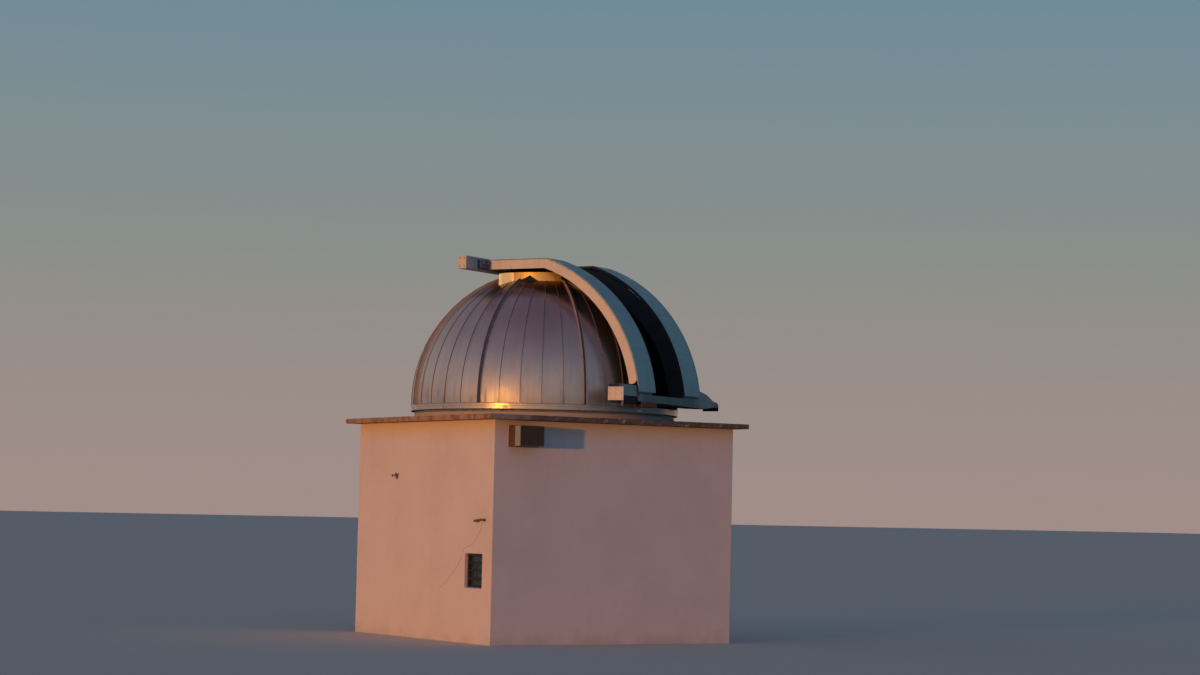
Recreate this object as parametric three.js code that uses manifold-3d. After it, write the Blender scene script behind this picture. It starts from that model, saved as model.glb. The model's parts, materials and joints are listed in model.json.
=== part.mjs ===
// Small square observatory building with a rotating dome and two sliding shutters.
// Millimetres, +Z up. Wide wall towards -Y, window wall towards -X, ground at z = 0.
import * as THREE from "three";
import { mergeVertices } from "three/addons/utils/BufferGeometryUtils.js";
import Module from "manifold-3d";

const wasm = await Module();
wasm.setup();

// Driving dimensions of the building
const WALL_HALF = 3000;
const WALL_THICK = 200;
const WALL_TOP = 4650;
const FLOOR_TOP = 400;
const ROOF_OVERHANG = 250;
const ROOF_THICK = 110;
const ROOF_TOP = WALL_TOP + ROOF_THICK;
const INNER_HALF = WALL_HALF - WALL_THICK;

// Stair hatch in the roof slab
const HATCH = { x0: 900, x1: 1800, y0: 700, y1: 1600 };

// Openings in the walls
const WINDOW = { y0: -2605, y1: -1880, z0: 1150, z1: 1870 };
const UNIT_HOLE = { x0: -2665, x1: -2065, z0: 4095, z1: 4540 };
const DOOR = { x0: 500, x1: 1400, z0: FLOOR_TOP, z1: 2500 };

// Masonry ring and track under the dome
const KERB_OUTER = 2870;
const KERB_INNER = 2650;
const KERB_TOP = 4870;
const TRACK_OUTER = 2850;
const TRACK_INNER = 2800;
const TRACK_TOP = 5009.6;

// Dome shell
const DOME_RADIUS = 2936;
const SHELL_THICK = 30;
const DOME_CENTRE_Z = 5118;
const RING_TOP = 5050;
const SKIRT_BOTTOM = 4910;
const RING_OUTER = 2946;
const RING_INNER = 2780;
const DOME_TURN_DEG = 27.5;
const RIB_ANGLES_DEG = [42, 87, 132, 180];
const GORES_BETWEEN_RIBS = 5;
const RIB_HEIGHT = 50;
const RIB_WIDTH = 46;

// Slit, its box girders and the low round cap beside them at the top of the dome
const SLIT_HALF = 690;
const GIRDER_OUTER = 880;
const GIRDER_CENTRE_Z = 5095;
const GIRDER_RADIUS = 2870;
const GIRDER_TOP = GIRDER_CENTRE_Z + GIRDER_RADIUS;
const GIRDER_DEPTH = 130;
const GIRDER_BACK = 533;
const CROSS_THICK = 107;
const BACK_FRAME_TOP = 7990;
const CURB = { thick: 13, drop: 75 };
const CROWN = { radius: 1250, back: 537, top: 7962, blockTop: 7930 };
const CROWN_BLOCK = [[1380, 400], [1380, 330], [1195, 118], [1100, 118], [1100, 400]];

// Shutters: an arc up the front that meets a flat top
const SHUTTER_ARC = { y: 266, z: 4958, radius: 3454 };
const SHUTTER_TOP = 8247;
const SHUTTER_DEPTH = 220;
const SKIN = 20;
const SHUTTER_INNER_EDGE = 645;
const SHUTTER_OUTER_EDGE = 1380;
const SHUTTER_BACK = 728;
const SKIN_BOTTOM = 5345;
const SIDE_BOTTOM = 5505;
const SIDE_CORNER = 120;

// Rails
const TOP_RAIL = { front: 747, back: 957, half: 2170, z0: 7990, z1: 8270 };
const HOOD = { back: 2850, front: 3105, z0: 5241, z1: 5475, left: -2118, right: 2133 };
const HOOD_NOTCH = { half: 690, z: 5288 };
const HOOD_END = { front: 3216, back: 2843, thick: 15, z0: 5127, z1: 5410 };
const HOOD_STOP = { back: 2831, z0: 5074, z1: 5160 };
const LOWER_BEAM = { back: 2880, front: 3090, z0: 5090, right: 2127 };
const SILL = { back: 3112, front: 3142, z0: 5130, z1: 5290, left: -1310, right: 2125.7 };
const DRIVE_COVER = { x0: -1290, x1: -615, front: 3178, z0: 5030, z1: 5140 };

const GAP = 0.3;

// Materials
const paint = (color, roughness, metalness) => new THREE.MeshStandardMaterial({ color, roughness, metalness });
const MATERIALS = {
  wall: () => paint(0xc9b9a8, 0.9, 0),
  concrete: () => paint(0x6b6058, 0.95, 0),
  floor: () => paint(0x8a867f, 0.95, 0),
  kerb: () => paint(0xbfaea0, 0.9, 0),
  aluminium: () => paint(0xa9a4a6, 0.42, 0.9),
  steel: () => paint(0x6f7274, 0.55, 0.6),
  shutter: () => paint(0xd6d4cf, 0.5, 0.1),
  rail: () => paint(0xcfcdc8, 0.5, 0.1),
  darkSteel: () => paint(0x2b2d30, 0.6, 0.4),
  redOxide: () => paint(0x7d3426, 0.7, 0.1),
  timber: () => paint(0x6a4632, 0.8, 0),
  casing: () => paint(0xb9b4aa, 0.5, 0.3),
  grille: () => paint(0x3a3836, 0.6, 0.3),
  windowFrame: () => paint(0x4a3a31, 0.6, 0.2),
  glass: () => paint(0x2d3f4a, 0.08, 0),
  door: () => paint(0x8f8a80, 0.6, 0.2),
};

// Geometry helpers
function block(x0, x1, y0, y1, z0, z1) {
  const g = new THREE.BoxGeometry(x1 - x0, y1 - y0, z1 - z0);
  g.translate((x0 + x1) / 2, (y0 + y1) / 2, (z0 + z1) / 2);
  return g;
}

// A closed outline of [y, z] points pushed along X from x0 to x1.
function prismX(points, x0, x1) {
  const shape = new THREE.Shape(points.map(([y, z]) => new THREE.Vector2(y, z)));
  const g = new THREE.ExtrudeGeometry(shape, { depth: x1 - x0, bevelEnabled: false });
  g.applyMatrix4(new THREE.Matrix4().set(0, 0, 1, x0, 1, 0, 0, 0, 0, 1, 0, 0, 0, 0, 0, 1));
  return g;
}

// A closed outline of [x, z] points pushed along Y from y0 to y1.
function prismY(points, y0, y1) {
  const shape = new THREE.Shape(points.map(([x, z]) => new THREE.Vector2(x, z)));
  const g = new THREE.ExtrudeGeometry(shape, { depth: y1 - y0, bevelEnabled: false });
  g.applyMatrix4(new THREE.Matrix4().set(1, 0, 0, 0, 0, 0, -1, y1, 0, 1, 0, 0, 0, 0, 0, 1));
  return g;
}

// A closed outline of [x, y] points pushed along Z from z0 to z1.
function prismZ(points, z0, z1) {
  const shape = new THREE.Shape(points.map(([x, y]) => new THREE.Vector2(x, y)));
  const g = new THREE.ExtrudeGeometry(shape, { depth: z1 - z0, bevelEnabled: false });
  g.translate(0, 0, z0);
  return g;
}

// A full ring about Z: the section is a closed outline of [radius, z] points.
const RING_STEPS = 60;
function fullRing(section) {
  const profile = [...section, section[0]].map(([r, z]) => new THREE.Vector2(r, z));
  const g = new THREE.LatheGeometry(profile, RING_STEPS);
  g.rotateX(Math.PI / 2);
  g.deleteAttribute("normal");
  g.deleteAttribute("uv");
  return outward(mergeVertices(g, 1e-3));
}

function toSolid(geometry) {
  const g = geometry.clone();
  g.deleteAttribute("normal");
  g.deleteAttribute("uv");
  const merged = mergeVertices(g, 1e-4);
  return new wasm.Manifold(
    new wasm.Mesh({
      numProp: 3,
      vertProperties: new Float32Array(merged.attributes.position.array),
      triVerts: new Uint32Array(merged.index.array),
    }),
  );
}

function toGeometry(solid) {
  const mesh = solid.getMesh();
  const g = new THREE.BufferGeometry();
  const positions = new Float32Array(mesh.numVert * 3);
  for (let i = 0; i < mesh.numVert; i++) {
    for (let k = 0; k < 3; k++) positions[i * 3 + k] = mesh.vertProperties[i * mesh.numProp + k];
  }
  g.setAttribute("position", new THREE.BufferAttribute(positions, 3));
  g.setIndex(new THREE.BufferAttribute(mesh.triVerts, 1));
  g.computeVertexNormals();
  return g;
}

// Turns the faces round when the volume comes out negative.
function outward(geometry) {
  const p = geometry.attributes.position;
  const index = geometry.index.array;
  const a = new THREE.Vector3();
  const b = new THREE.Vector3();
  const c = new THREE.Vector3();
  let volume = 0;
  for (let i = 0; i < index.length; i += 3) {
    a.fromBufferAttribute(p, index[i]);
    b.fromBufferAttribute(p, index[i + 1]);
    c.fromBufferAttribute(p, index[i + 2]);
    volume += a.dot(b.cross(c));
  }
  if (volume < 0) {
    for (let i = 0; i < index.length; i += 3) {
      const keep = index[i + 1];
      index[i + 1] = index[i + 2];
      index[i + 2] = keep;
    }
  }
  geometry.computeVertexNormals();
  return geometry;
}

const cut = (geometry, ...tools) => toGeometry(tools.reduce((s, t) => s.subtract(toSolid(t)), toSolid(geometry)));
const join = (first, ...others) => toGeometry(others.reduce((s, t) => s.add(toSolid(t)), toSolid(first)));

const root = new THREE.Group();
root.name = "observatory_dome";
const building = new THREE.Group();
const dome = new THREE.Group();
dome.rotation.z = THREE.MathUtils.degToRad(DOME_TURN_DEG);
root.add(building, dome);

function add(group, name, geometry, material) {
  const mesh = new THREE.Mesh(geometry, MATERIALS[material]());
  mesh.name = name;
  group.add(mesh);
}

// Building: floor, walls and roof
add(building, "floor_slab", block(-INNER_HALF, INNER_HALF, -INNER_HALF, INNER_HALF, 0, FLOOR_TOP), "floor");

add(
  building,
  "front_wall",
  cut(
    block(-WALL_HALF, WALL_HALF, -WALL_HALF, -INNER_HALF, 0, WALL_TOP),
    block(UNIT_HOLE.x0, UNIT_HOLE.x1, -WALL_HALF - 10, -INNER_HALF + 10, UNIT_HOLE.z0, UNIT_HOLE.z1),
  ),
  "wall",
);
add(
  building,
  "left_wall",
  cut(
    block(-WALL_HALF, -INNER_HALF, -INNER_HALF, WALL_HALF, 0, WALL_TOP),
    block(-WALL_HALF - 10, -INNER_HALF + 10, WINDOW.y0, WINDOW.y1, WINDOW.z0, WINDOW.z1),
  ),
  "wall",
);
add(building, "right_wall", block(INNER_HALF, WALL_HALF, -INNER_HALF, WALL_HALF, 0, WALL_TOP), "wall");
add(
  building,
  "back_wall",
  cut(
    block(-INNER_HALF, INNER_HALF, INNER_HALF, WALL_HALF, 0, WALL_TOP),
    block(DOOR.x0, DOOR.x1, INNER_HALF - 10, WALL_HALF + 10, DOOR.z0, DOOR.z1),
  ),
  "wall",
);

const ROOF_HALF = WALL_HALF + ROOF_OVERHANG;
add(
  building,
  "roof_slab",
  cut(
    block(-ROOF_HALF, ROOF_HALF, -ROOF_HALF, ROOF_HALF, WALL_TOP, ROOF_TOP),
    block(HATCH.x0, HATCH.x1, HATCH.y0, HATCH.y1, WALL_TOP - 10, ROOF_TOP + 10),
  ),
  "concrete",
);

// Masonry ring and the track on it
const JOINT_GAP_DEG = 0.006;
add(
  building,
  "dome_kerb",
  fullRing([
    [KERB_INNER, ROOF_TOP],
    [KERB_OUTER, ROOF_TOP],
    [KERB_OUTER, KERB_TOP],
    [KERB_INNER, KERB_TOP],
  ]),
  "kerb",
);
add(
  building,
  "dome_track",
  fullRing([
    [TRACK_INNER, KERB_TOP],
    [TRACK_OUTER, KERB_TOP],
    [TRACK_OUTER, TRACK_TOP],
    [TRACK_INNER, TRACK_TOP],
  ]),
  "steel",
);

// Window
const FRAME_BAR = 45;
const FRAME_DEPTH = 40;
const FRAME_X = -WALL_HALF + 75;
const PANE_ROWS = 4;
const TRANSOM = 26;
function windowFrame() {
  let g = block(FRAME_X, FRAME_X + FRAME_DEPTH, WINDOW.y0 + GAP, WINDOW.y1 - GAP, WINDOW.z0, WINDOW.z1 - GAP);
  const rowHeight = (WINDOW.z1 - WINDOW.z0 - 2 * FRAME_BAR - (PANE_ROWS - 1) * TRANSOM) / PANE_ROWS;
  for (let i = 0; i < PANE_ROWS; i++) {
    const z0 = WINDOW.z0 + FRAME_BAR + i * (rowHeight + TRANSOM);
    g = cut(
      g,
      block(FRAME_X - 5, FRAME_X + FRAME_DEPTH + 5, WINDOW.y0 + FRAME_BAR, WINDOW.y1 - FRAME_BAR, z0, z0 + rowHeight),
    );
  }
  return g;
}
add(building, "window_frame", windowFrame(), "windowFrame");
add(
  building,
  "window_glass",
  block(
    FRAME_X + FRAME_DEPTH,
    FRAME_X + FRAME_DEPTH + 6,
    WINDOW.y0 + 20,
    WINDOW.y1 - 20,
    WINDOW.z0 + 20,
    WINDOW.z1 - 20,
  ),
  "glass",
);

// Cooling unit in its timber sleeve, high in the front wall
const SLEEVE_BOARD = 12;
const GRILLE_INSET = 4;
const SLEEVE_OUT = -WALL_HALF - 240;
const CASING_OUT = -WALL_HALF - 445;
add(
  building,
  "unit_sleeve",
  cut(
    block(
      UNIT_HOLE.x0 + GAP,
      UNIT_HOLE.x1 - GAP,
      SLEEVE_OUT,
      -INNER_HALF + 20,
      UNIT_HOLE.z0,
      UNIT_HOLE.z1 - GAP,
    ),
    block(
      UNIT_HOLE.x0 + SLEEVE_BOARD,
      UNIT_HOLE.x1 - SLEEVE_BOARD,
      SLEEVE_OUT - 10,
      -INNER_HALF + 40,
      UNIT_HOLE.z0 + SLEEVE_BOARD,
      UNIT_HOLE.z1 - SLEEVE_BOARD,
    ),
  ),
  "timber",
);
add(
  building,
  "unit_casing",
  block(
    UNIT_HOLE.x0 + SLEEVE_BOARD + GAP,
    UNIT_HOLE.x1 - SLEEVE_BOARD - GAP,
    CASING_OUT,
    -INNER_HALF + 60,
    UNIT_HOLE.z0 + SLEEVE_BOARD,
    UNIT_HOLE.z1 - SLEEVE_BOARD - GAP,
  ),
  "casing",
);
add(
  building,
  "unit_grille",
  block(
    UNIT_HOLE.x0 + SLEEVE_BOARD + GRILLE_INSET,
    UNIT_HOLE.x1 - SLEEVE_BOARD - GRILLE_INSET,
    CASING_OUT - 12,
    CASING_OUT,
    UNIT_HOLE.z0 + SLEEVE_BOARD + GRILLE_INSET,
    UNIT_HOLE.z1 - SLEEVE_BOARD - GRILLE_INSET,
  ),
  "grille",
);

// Door on the back wall
const DOOR_BAR = 50;
add(
  building,
  "door_frame",
  cut(
    block(DOOR.x0 + GAP, DOOR.x1 - GAP, WALL_HALF - 130, WALL_HALF - 50, DOOR.z0, DOOR.z1 - GAP),
    block(DOOR.x0 + DOOR_BAR, DOOR.x1 - DOOR_BAR, WALL_HALF - 140, WALL_HALF - 40, DOOR.z0 - 10, DOOR.z1 - DOOR_BAR),
  ),
  "windowFrame",
);
add(
  building,
  "door_leaf",
  block(DOOR.x0 + DOOR_BAR + 2, DOOR.x1 - DOOR_BAR - 2, WALL_HALF - 110, WALL_HALF - 70, DOOR.z0, DOOR.z1 - DOOR_BAR - 2),
  "door",
);

// Dome ring with its hanging skirt
add(
  dome,
  "dome_ring",
  fullRing([
    [RING_INNER, RING_TOP - 40],
    [RING_OUTER - 20, RING_TOP - 40],
    [RING_OUTER - 20, SKIRT_BOTTOM],
    [RING_OUTER, SKIRT_BOTTOM],
    [RING_OUTER, RING_TOP],
    [RING_INNER, RING_TOP],
  ]),
  "aluminium",
);

// Space taken by the slit, its girders and the frame behind it
const SLIT_BACK = GIRDER_BACK + CROSS_THICK;
const slitSpace = () => block(-GIRDER_OUTER - GAP, GIRDER_OUTER + GAP, -4000, SLIT_BACK + GAP, 4000, 9000);

// A shell panel between two azimuths, in flat gores. Azimuth 0 points out of the slit (-Y), positive towards +X.
const SHELL_ROWS = 13;
const SHELL_TOP_DEG = 82;
function shellElevation(row) {
  const bottom = Math.asin((RING_TOP - DOME_CENTRE_Z) / DOME_RADIUS);
  return bottom + ((THREE.MathUtils.degToRad(SHELL_TOP_DEG) - bottom) * row) / SHELL_ROWS;
}
function shellPanel(from, to, gores, thick = SHELL_THICK) {
  const positions = [];
  for (const radius of [DOME_RADIUS, DOME_RADIUS - thick]) {
    for (let i = 0; i <= gores; i++) {
      const azimuth = THREE.MathUtils.degToRad(from + ((to - from) * i) / gores);
      for (let j = 0; j <= SHELL_ROWS; j++) {
        const elevation = shellElevation(j);
        const level = radius * Math.cos(elevation);
        const z = j === 0 ? RING_TOP : DOME_CENTRE_Z + radius * Math.sin(elevation);
        positions.push(level * Math.sin(azimuth), -level * Math.cos(azimuth), z);
      }
    }
  }
  const rows = SHELL_ROWS + 1;
  const layer = (gores + 1) * rows;
  const at = (k, i, j) => k * layer + i * rows + j;
  const faces = [];
  const quad = (a, b, c, d) => faces.push(a, b, c, a, c, d);
  for (let i = 0; i < gores; i++) {
    for (let j = 0; j < SHELL_ROWS; j++) {
      quad(at(0, i, j), at(0, i + 1, j), at(0, i + 1, j + 1), at(0, i, j + 1));
      quad(at(1, i, j), at(1, i, j + 1), at(1, i + 1, j + 1), at(1, i + 1, j));
    }
    quad(at(0, i, 0), at(1, i, 0), at(1, i + 1, 0), at(0, i + 1, 0));
    quad(at(0, i, SHELL_ROWS), at(0, i + 1, SHELL_ROWS), at(1, i + 1, SHELL_ROWS), at(1, i, SHELL_ROWS));
  }
  for (let j = 0; j < SHELL_ROWS; j++) {
    quad(at(0, 0, j), at(0, 0, j + 1), at(1, 0, j + 1), at(1, 0, j));
    quad(at(0, gores, j), at(1, gores, j), at(1, gores, j + 1), at(0, gores, j + 1));
  }
  const g = new THREE.BufferGeometry();
  g.setAttribute("position", new THREE.Float32BufferAttribute(positions, 3));
  g.setIndex(faces);
  return outward(g);
}

const PANEL_EDGES_DEG = [6, 42, 87, 180];
const PANEL_NAMES = ["front", "side", "rear"];
const PANEL_GORES = [4, GORES_BETWEEN_RIBS, 2 * GORES_BETWEEN_RIBS];
for (const [sideName, side] of [
  ["left", -1],
  ["right", 1],
]) {
  for (let i = 0; i < PANEL_NAMES.length; i++) {
    const from = PANEL_EDGES_DEG[i] + JOINT_GAP_DEG / 2;
    const to = PANEL_EDGES_DEG[i + 1] - JOINT_GAP_DEG / 2;
    const panel = side > 0 ? shellPanel(from, to, PANEL_GORES[i]) : shellPanel(-to, -from, PANEL_GORES[i]);
    add(dome, "dome_panel_" + PANEL_NAMES[i] + "_" + sideName, cut(panel, slitSpace()), "aluminium");
  }
}

// Raised main ribs on the joints between the panels
function domeRib(azimuth) {
  const outer = [];
  const inner = [];
  for (let i = 0; i <= SHELL_ROWS; i++) {
    const e = shellElevation(i);
    const sine = Math.sin(e);
    const cosine = Math.cos(e);
    const zIn = DOME_CENTRE_Z + (DOME_RADIUS + GAP) * sine;
    const zOut = DOME_CENTRE_Z + (DOME_RADIUS + RIB_HEIGHT) * sine;
    inner.push([-(DOME_RADIUS + GAP) * cosine, i === 0 ? RING_TOP : zIn]);
    outer.push([-(DOME_RADIUS + RIB_HEIGHT) * cosine, i === 0 ? RING_TOP : zOut]);
  }
  const g = prismX([...outer, ...inner.reverse()], -RIB_WIDTH / 2, RIB_WIDTH / 2);
  g.rotateZ(THREE.MathUtils.degToRad(azimuth));
  const railSpace = block(-440, 440, SLIT_BACK - 5, TOP_RAIL.back + 60, 7700, 8400);
  const discSides = 96;
  const discRadius = (CROWN.radius + GAP) / Math.cos(Math.PI / discSides);
  const crownDisc = new THREE.CylinderGeometry(discRadius, discRadius, 1000, discSides);
  crownDisc.rotateX(Math.PI / 2);
  crownDisc.translate(0, 0, 7900);
  const crownSpace = cut(crownDisc, block(-1400, 1400, CROWN.back + GAP, 1400, 7300, 8500));
  return cut(g, slitSpace(), railSpace, crownSpace);
}
for (const angle of RIB_ANGLES_DEG) {
  if (angle === 180) {
    add(dome, "dome_rib_rear", domeRib(180), "aluminium");
    continue;
  }
  add(dome, "dome_rib_left_" + angle, domeRib(-angle), "aluminium");
  add(dome, "dome_rib_right_" + angle, domeRib(angle), "aluminium");
}

// The shutters' outline seen from the side, a set depth under their outer face
const SHUTTER_STEPS = 18;
function shutterCurve(depth) {
  const radius = SHUTTER_ARC.radius - depth;
  const top = SHUTTER_TOP - depth;
  const bend = Math.asin((top - SHUTTER_ARC.z) / radius);
  const points = [];
  for (let i = 0; i <= SHUTTER_STEPS; i++) {
    const e = (bend * i) / SHUTTER_STEPS;
    points.push([SHUTTER_ARC.y - radius * Math.cos(e), SHUTTER_ARC.z + radius * Math.sin(e)]);
  }
  points.push([SHUTTER_BACK, top]);
  return points;
}
function shutterPlate(outerDepth, innerDepth, bottom, x0, x1) {
  const plate = prismX([...shutterCurve(outerDepth), ...shutterCurve(innerDepth).reverse()], x0, x1);
  return cut(plate, block(x0 - 10, x1 + 10, -3500, 0, 4900, bottom));
}
// Box girders along both sides of the slit, and the frame across its back
function girderProfile() {
  const outer = [];
  const inner = [];
  const steps = 20;
  for (let i = 0; i <= steps; i++) {
    const e = (Math.PI / 2) * (i / steps);
    const y = -GIRDER_RADIUS * Math.cos(e);
    outer.push([y, i === 0 ? RING_TOP : GIRDER_CENTRE_Z + GIRDER_RADIUS * Math.sin(e)]);
  }
  outer.push([GIRDER_BACK, GIRDER_TOP]);
  const innerRadius = GIRDER_RADIUS - GIRDER_DEPTH;
  const past = Math.asin(GIRDER_BACK / innerRadius);
  for (let i = 0; i <= steps; i++) {
    const e = (Math.PI / 2 + past) * (1 - i / steps);
    inner.push([-innerRadius * Math.cos(e), i === steps ? RING_TOP : GIRDER_CENTRE_Z + innerRadius * Math.sin(e)]);
  }
  return [...outer, ...inner];
}
// Thin upright curb on each girder, reaching up under the shutters
function curbProfile() {
  const foot = [];
  for (let i = 0; i <= 20; i++) {
    const e = (Math.PI / 2) * (i / 20);
    foot.push([-(GIRDER_RADIUS - 20) * Math.cos(e), GIRDER_CENTRE_Z + (GIRDER_RADIUS - 20) * Math.sin(e)]);
  }
  foot.push([SHUTTER_BACK, GIRDER_TOP - 20]);
  return [...shutterCurve(CURB.drop), ...foot.reverse()];
}
const hoodSpace = () => block(-3000, 3000, -3300, -HOOD.back + GAP, 5000, HOOD.z1 + GAP);
for (const [sideName, side] of [
  ["left", -1],
  ["right", 1],
]) {
  const x0 = side < 0 ? -GIRDER_OUTER : SLIT_HALF;
  const x1 = side < 0 ? -SLIT_HALF : GIRDER_OUTER;
  const girder = cut(prismX(girderProfile(), x0, x1), hoodSpace());
  const [c0, c1] = side < 0 ? [-SLIT_HALF - CURB.thick, -SLIT_HALF] : [SLIT_HALF, SLIT_HALF + CURB.thick];
  const curb = cut(
    prismX(curbProfile(), c0, c1),
    block(c0 - 10, c1 + 10, -3500, 0, 4900, HOOD.z1 + GAP),
    block(c0 - 10, c1 + 10, GIRDER_BACK, 1000, 5000, 8400),
  );
  add(dome, "slit_girder_" + sideName, join(girder, curb), "shutter");
}
add(
  dome,
  "slit_back_frame",
  join(
    block(-GIRDER_OUTER, GIRDER_OUTER, GIRDER_BACK + GAP, SLIT_BACK, 7770, BACK_FRAME_TOP),
    block(
      -SLIT_HALF - CURB.thick,
      SLIT_HALF + CURB.thick,
      SLIT_BACK - CURB.thick,
      SLIT_BACK,
      BACK_FRAME_TOP - 20,
      SHUTTER_TOP - CURB.drop,
    ),
  ),
  "shutter",
);

// The dome's whole skin made thick, to cut feet that stand on it
const thickSkin = () => {
  const parts = [];
  for (let i = 0; i < PANEL_NAMES.length; i++) {
    parts.push(shellPanel(PANEL_EDGES_DEG[i], PANEL_EDGES_DEG[i + 1], PANEL_GORES[i], 900));
    parts.push(shellPanel(-PANEL_EDGES_DEG[i + 1], -PANEL_EDGES_DEG[i], PANEL_GORES[i], 900));
  }
  const g = join(...parts);
  g.translate(0, 0, GAP);
  return g;
};

// Low round cap beside the girders at the top of the dome, with a small block at its rear
function crownOutline(side) {
  const near = GIRDER_OUTER + GAP;
  const from = Math.asin(near / CROWN.radius);
  const to = Math.acos(-CROWN.back / CROWN.radius);
  const points = [];
  for (let i = 0; i <= 24; i++) {
    const a = from + ((to - from) * i) / 24;
    points.push([side * CROWN.radius * Math.sin(a), -CROWN.radius * Math.cos(a)]);
  }
  points.push([side * near, CROWN.back]);
  return points;
}
for (const [sideName, side] of [
  ["left", -1],
  ["right", 1],
]) {
  const cap = prismZ(crownOutline(side), 7400, CROWN.top);
  const outline = CROWN_BLOCK.map(([x, y]) => [side * x, y]);
  const rearBlock = prismZ(outline, 7400, CROWN.blockTop);
  add(dome, "crown_cap_" + sideName, cut(join(cap, rearBlock), thickSkin()), "aluminium");
}

// Top rail on two brackets behind the zenith
const topRailBeam = () =>
  block(-TOP_RAIL.half, TOP_RAIL.half, TOP_RAIL.front, TOP_RAIL.back, TOP_RAIL.z0, TOP_RAIL.z1);
const topRailBracket = (x) =>
  cut(block(x, x + 80, TOP_RAIL.front + 3, TOP_RAIL.back - 10, 7600, TOP_RAIL.z0 + 1), thickSkin());
add(dome, "top_rail", join(topRailBeam(), topRailBracket(-400), topRailBracket(320)), "rail");

// Bottom rail: hood, lower beam, end plates, sill plates, gussets and drive bracket
const hoodBody = cut(
  prismY(
    [
      [HOOD.left - HOOD_END.thick, HOOD.z0],
      [HOOD.right, HOOD.z0],
      [HOOD.right, 5280],
      [2010, 5334],
      [1800, 5422],
      [1600, 5463],
      [1530, HOOD.z1],
      [HOOD.left, HOOD.z1],
      [HOOD.left, HOOD_END.z1],
      [HOOD.left - HOOD_END.thick, HOOD_END.z1],
    ],
    -HOOD.front,
    -HOOD.back,
  ),
  block(-HOOD_NOTCH.half, HOOD_NOTCH.half, -3300, -2700, HOOD_NOTCH.z, 5600),
);
const hoodEndLeft = prismX(
  [
    [-HOOD_END.front, 5005],
    [-HOOD_END.front + 46, 5005],
    [-HOOD_END.front + 46, HOOD_END.z0],
    [-HOOD_END.back, HOOD_END.z0],
    [-HOOD_END.back, HOOD_END.z1],
    [-HOOD_END.front, HOOD_END.z1],
  ],
  HOOD.left - HOOD_END.thick,
  HOOD.left,
);
const hoodEndRight = prismX(
  [
    [-HOOD_END.front, HOOD_STOP.z1 + GAP],
    [-HOOD_STOP.back, HOOD_STOP.z1 + GAP],
    [-HOOD_STOP.back, 5275],
    [-3165, 5275],
    [-HOOD_END.front, 5215],
  ],
  HOOD.right - 5,
  HOOD.right + 15,
);
add(dome, "bottom_rail_hood", join(hoodBody, hoodEndLeft, hoodEndRight), "rail");
const beamBody = prismY(
  [
    [HOOD.left + GAP, LOWER_BEAM.z0],
    [1200, LOWER_BEAM.z0],
    [1650, 5100],
    [LOWER_BEAM.right, 5148],
    [LOWER_BEAM.right, HOOD.z0 - GAP],
    [HOOD.left + GAP, HOOD.z0 - GAP],
  ],
  -LOWER_BEAM.front,
  -LOWER_BEAM.back,
);
const endStop = block(
  LOWER_BEAM.right - 1,
  HOOD.right + 15,
  -HOOD_END.front,
  -HOOD_STOP.back,
  HOOD_STOP.z0,
  HOOD_STOP.z1,
);
add(dome, "bottom_rail_beam", join(beamBody, endStop), "darkSteel");

// Sill plates in front of the beam, the right one running on to the end of the rail
const sillFoot = (x0, x1) => block(x0, x1, -SILL.back - 1, -LOWER_BEAM.front - GAP, HOOD_STOP.z1, HOOD.z0 - GAP);
const sillLeft = block(SILL.left, -2, -SILL.front, -SILL.back, SILL.z0, SILL.z1);
const sillRight = prismY(
  [
    [2, 5125],
    [900, 5110],
    [1650, 5108],
    [SILL.right, HOOD_STOP.z1],
    [SILL.right, 5262],
    [2060, SILL.z1],
    [2, SILL.z1],
  ],
  -SILL.front,
  -SILL.back,
);
add(dome, "sill_plate_left", join(sillLeft, sillFoot(SILL.left, -2)), "rail");
add(dome, "sill_plate_right", join(sillRight, sillFoot(2, SILL.right)), "rail");

// Gussets from the beam to the dome, and the red cover of the drive
for (const [sideName, side] of [
  ["left", -1],
  ["right", 1],
]) {
  const gx = side * 1300;
  add(
    dome,
    "rail_gusset_" + sideName,
    cut(
      block(gx - 10, gx + 10, -LOWER_BEAM.back + GAP, -2400, 5130, 5235),
      (() => {
        const g = new THREE.CylinderGeometry(DOME_RADIUS + 2, DOME_RADIUS + 2, 1000, 120);
        g.rotateX(Math.PI / 2);
        g.translate(0, 0, 5100);
        return g;
      })(),
    ),
    "darkSteel",
  );
}
add(
  dome,
  "drive_bracket",
  join(
    block(
      DRIVE_COVER.x0,
      DRIVE_COVER.x1,
      -DRIVE_COVER.front,
      -SILL.front - GAP,
      DRIVE_COVER.z0,
      DRIVE_COVER.z1,
    ),
    block(
      DRIVE_COVER.x0 + 90,
      DRIVE_COVER.x1 - 40,
      -SILL.front - 1,
      -2975,
      DRIVE_COVER.z0,
      LOWER_BEAM.z0 - GAP,
    ),
  ),
  "redOxide",
);

// Outline that rounds off the front lower corner of a shutter's side wall
function sideCorner() {
  const front = -3106;
  const points = [
    [front - 200, SIDE_BOTTOM - 100],
    [front + SIDE_CORNER, SIDE_BOTTOM - 100],
  ];
  for (let i = 0; i <= 10; i++) {
    const a = (Math.PI / 2) * (i / 10);
    points.push([
      front + SIDE_CORNER - SIDE_CORNER * Math.sin(a),
      SIDE_BOTTOM + SIDE_CORNER - SIDE_CORNER * Math.cos(a),
    ]);
  }
  points.push([front - 200, SIDE_BOTTOM + SIDE_CORNER]);
  return points;
}

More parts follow.
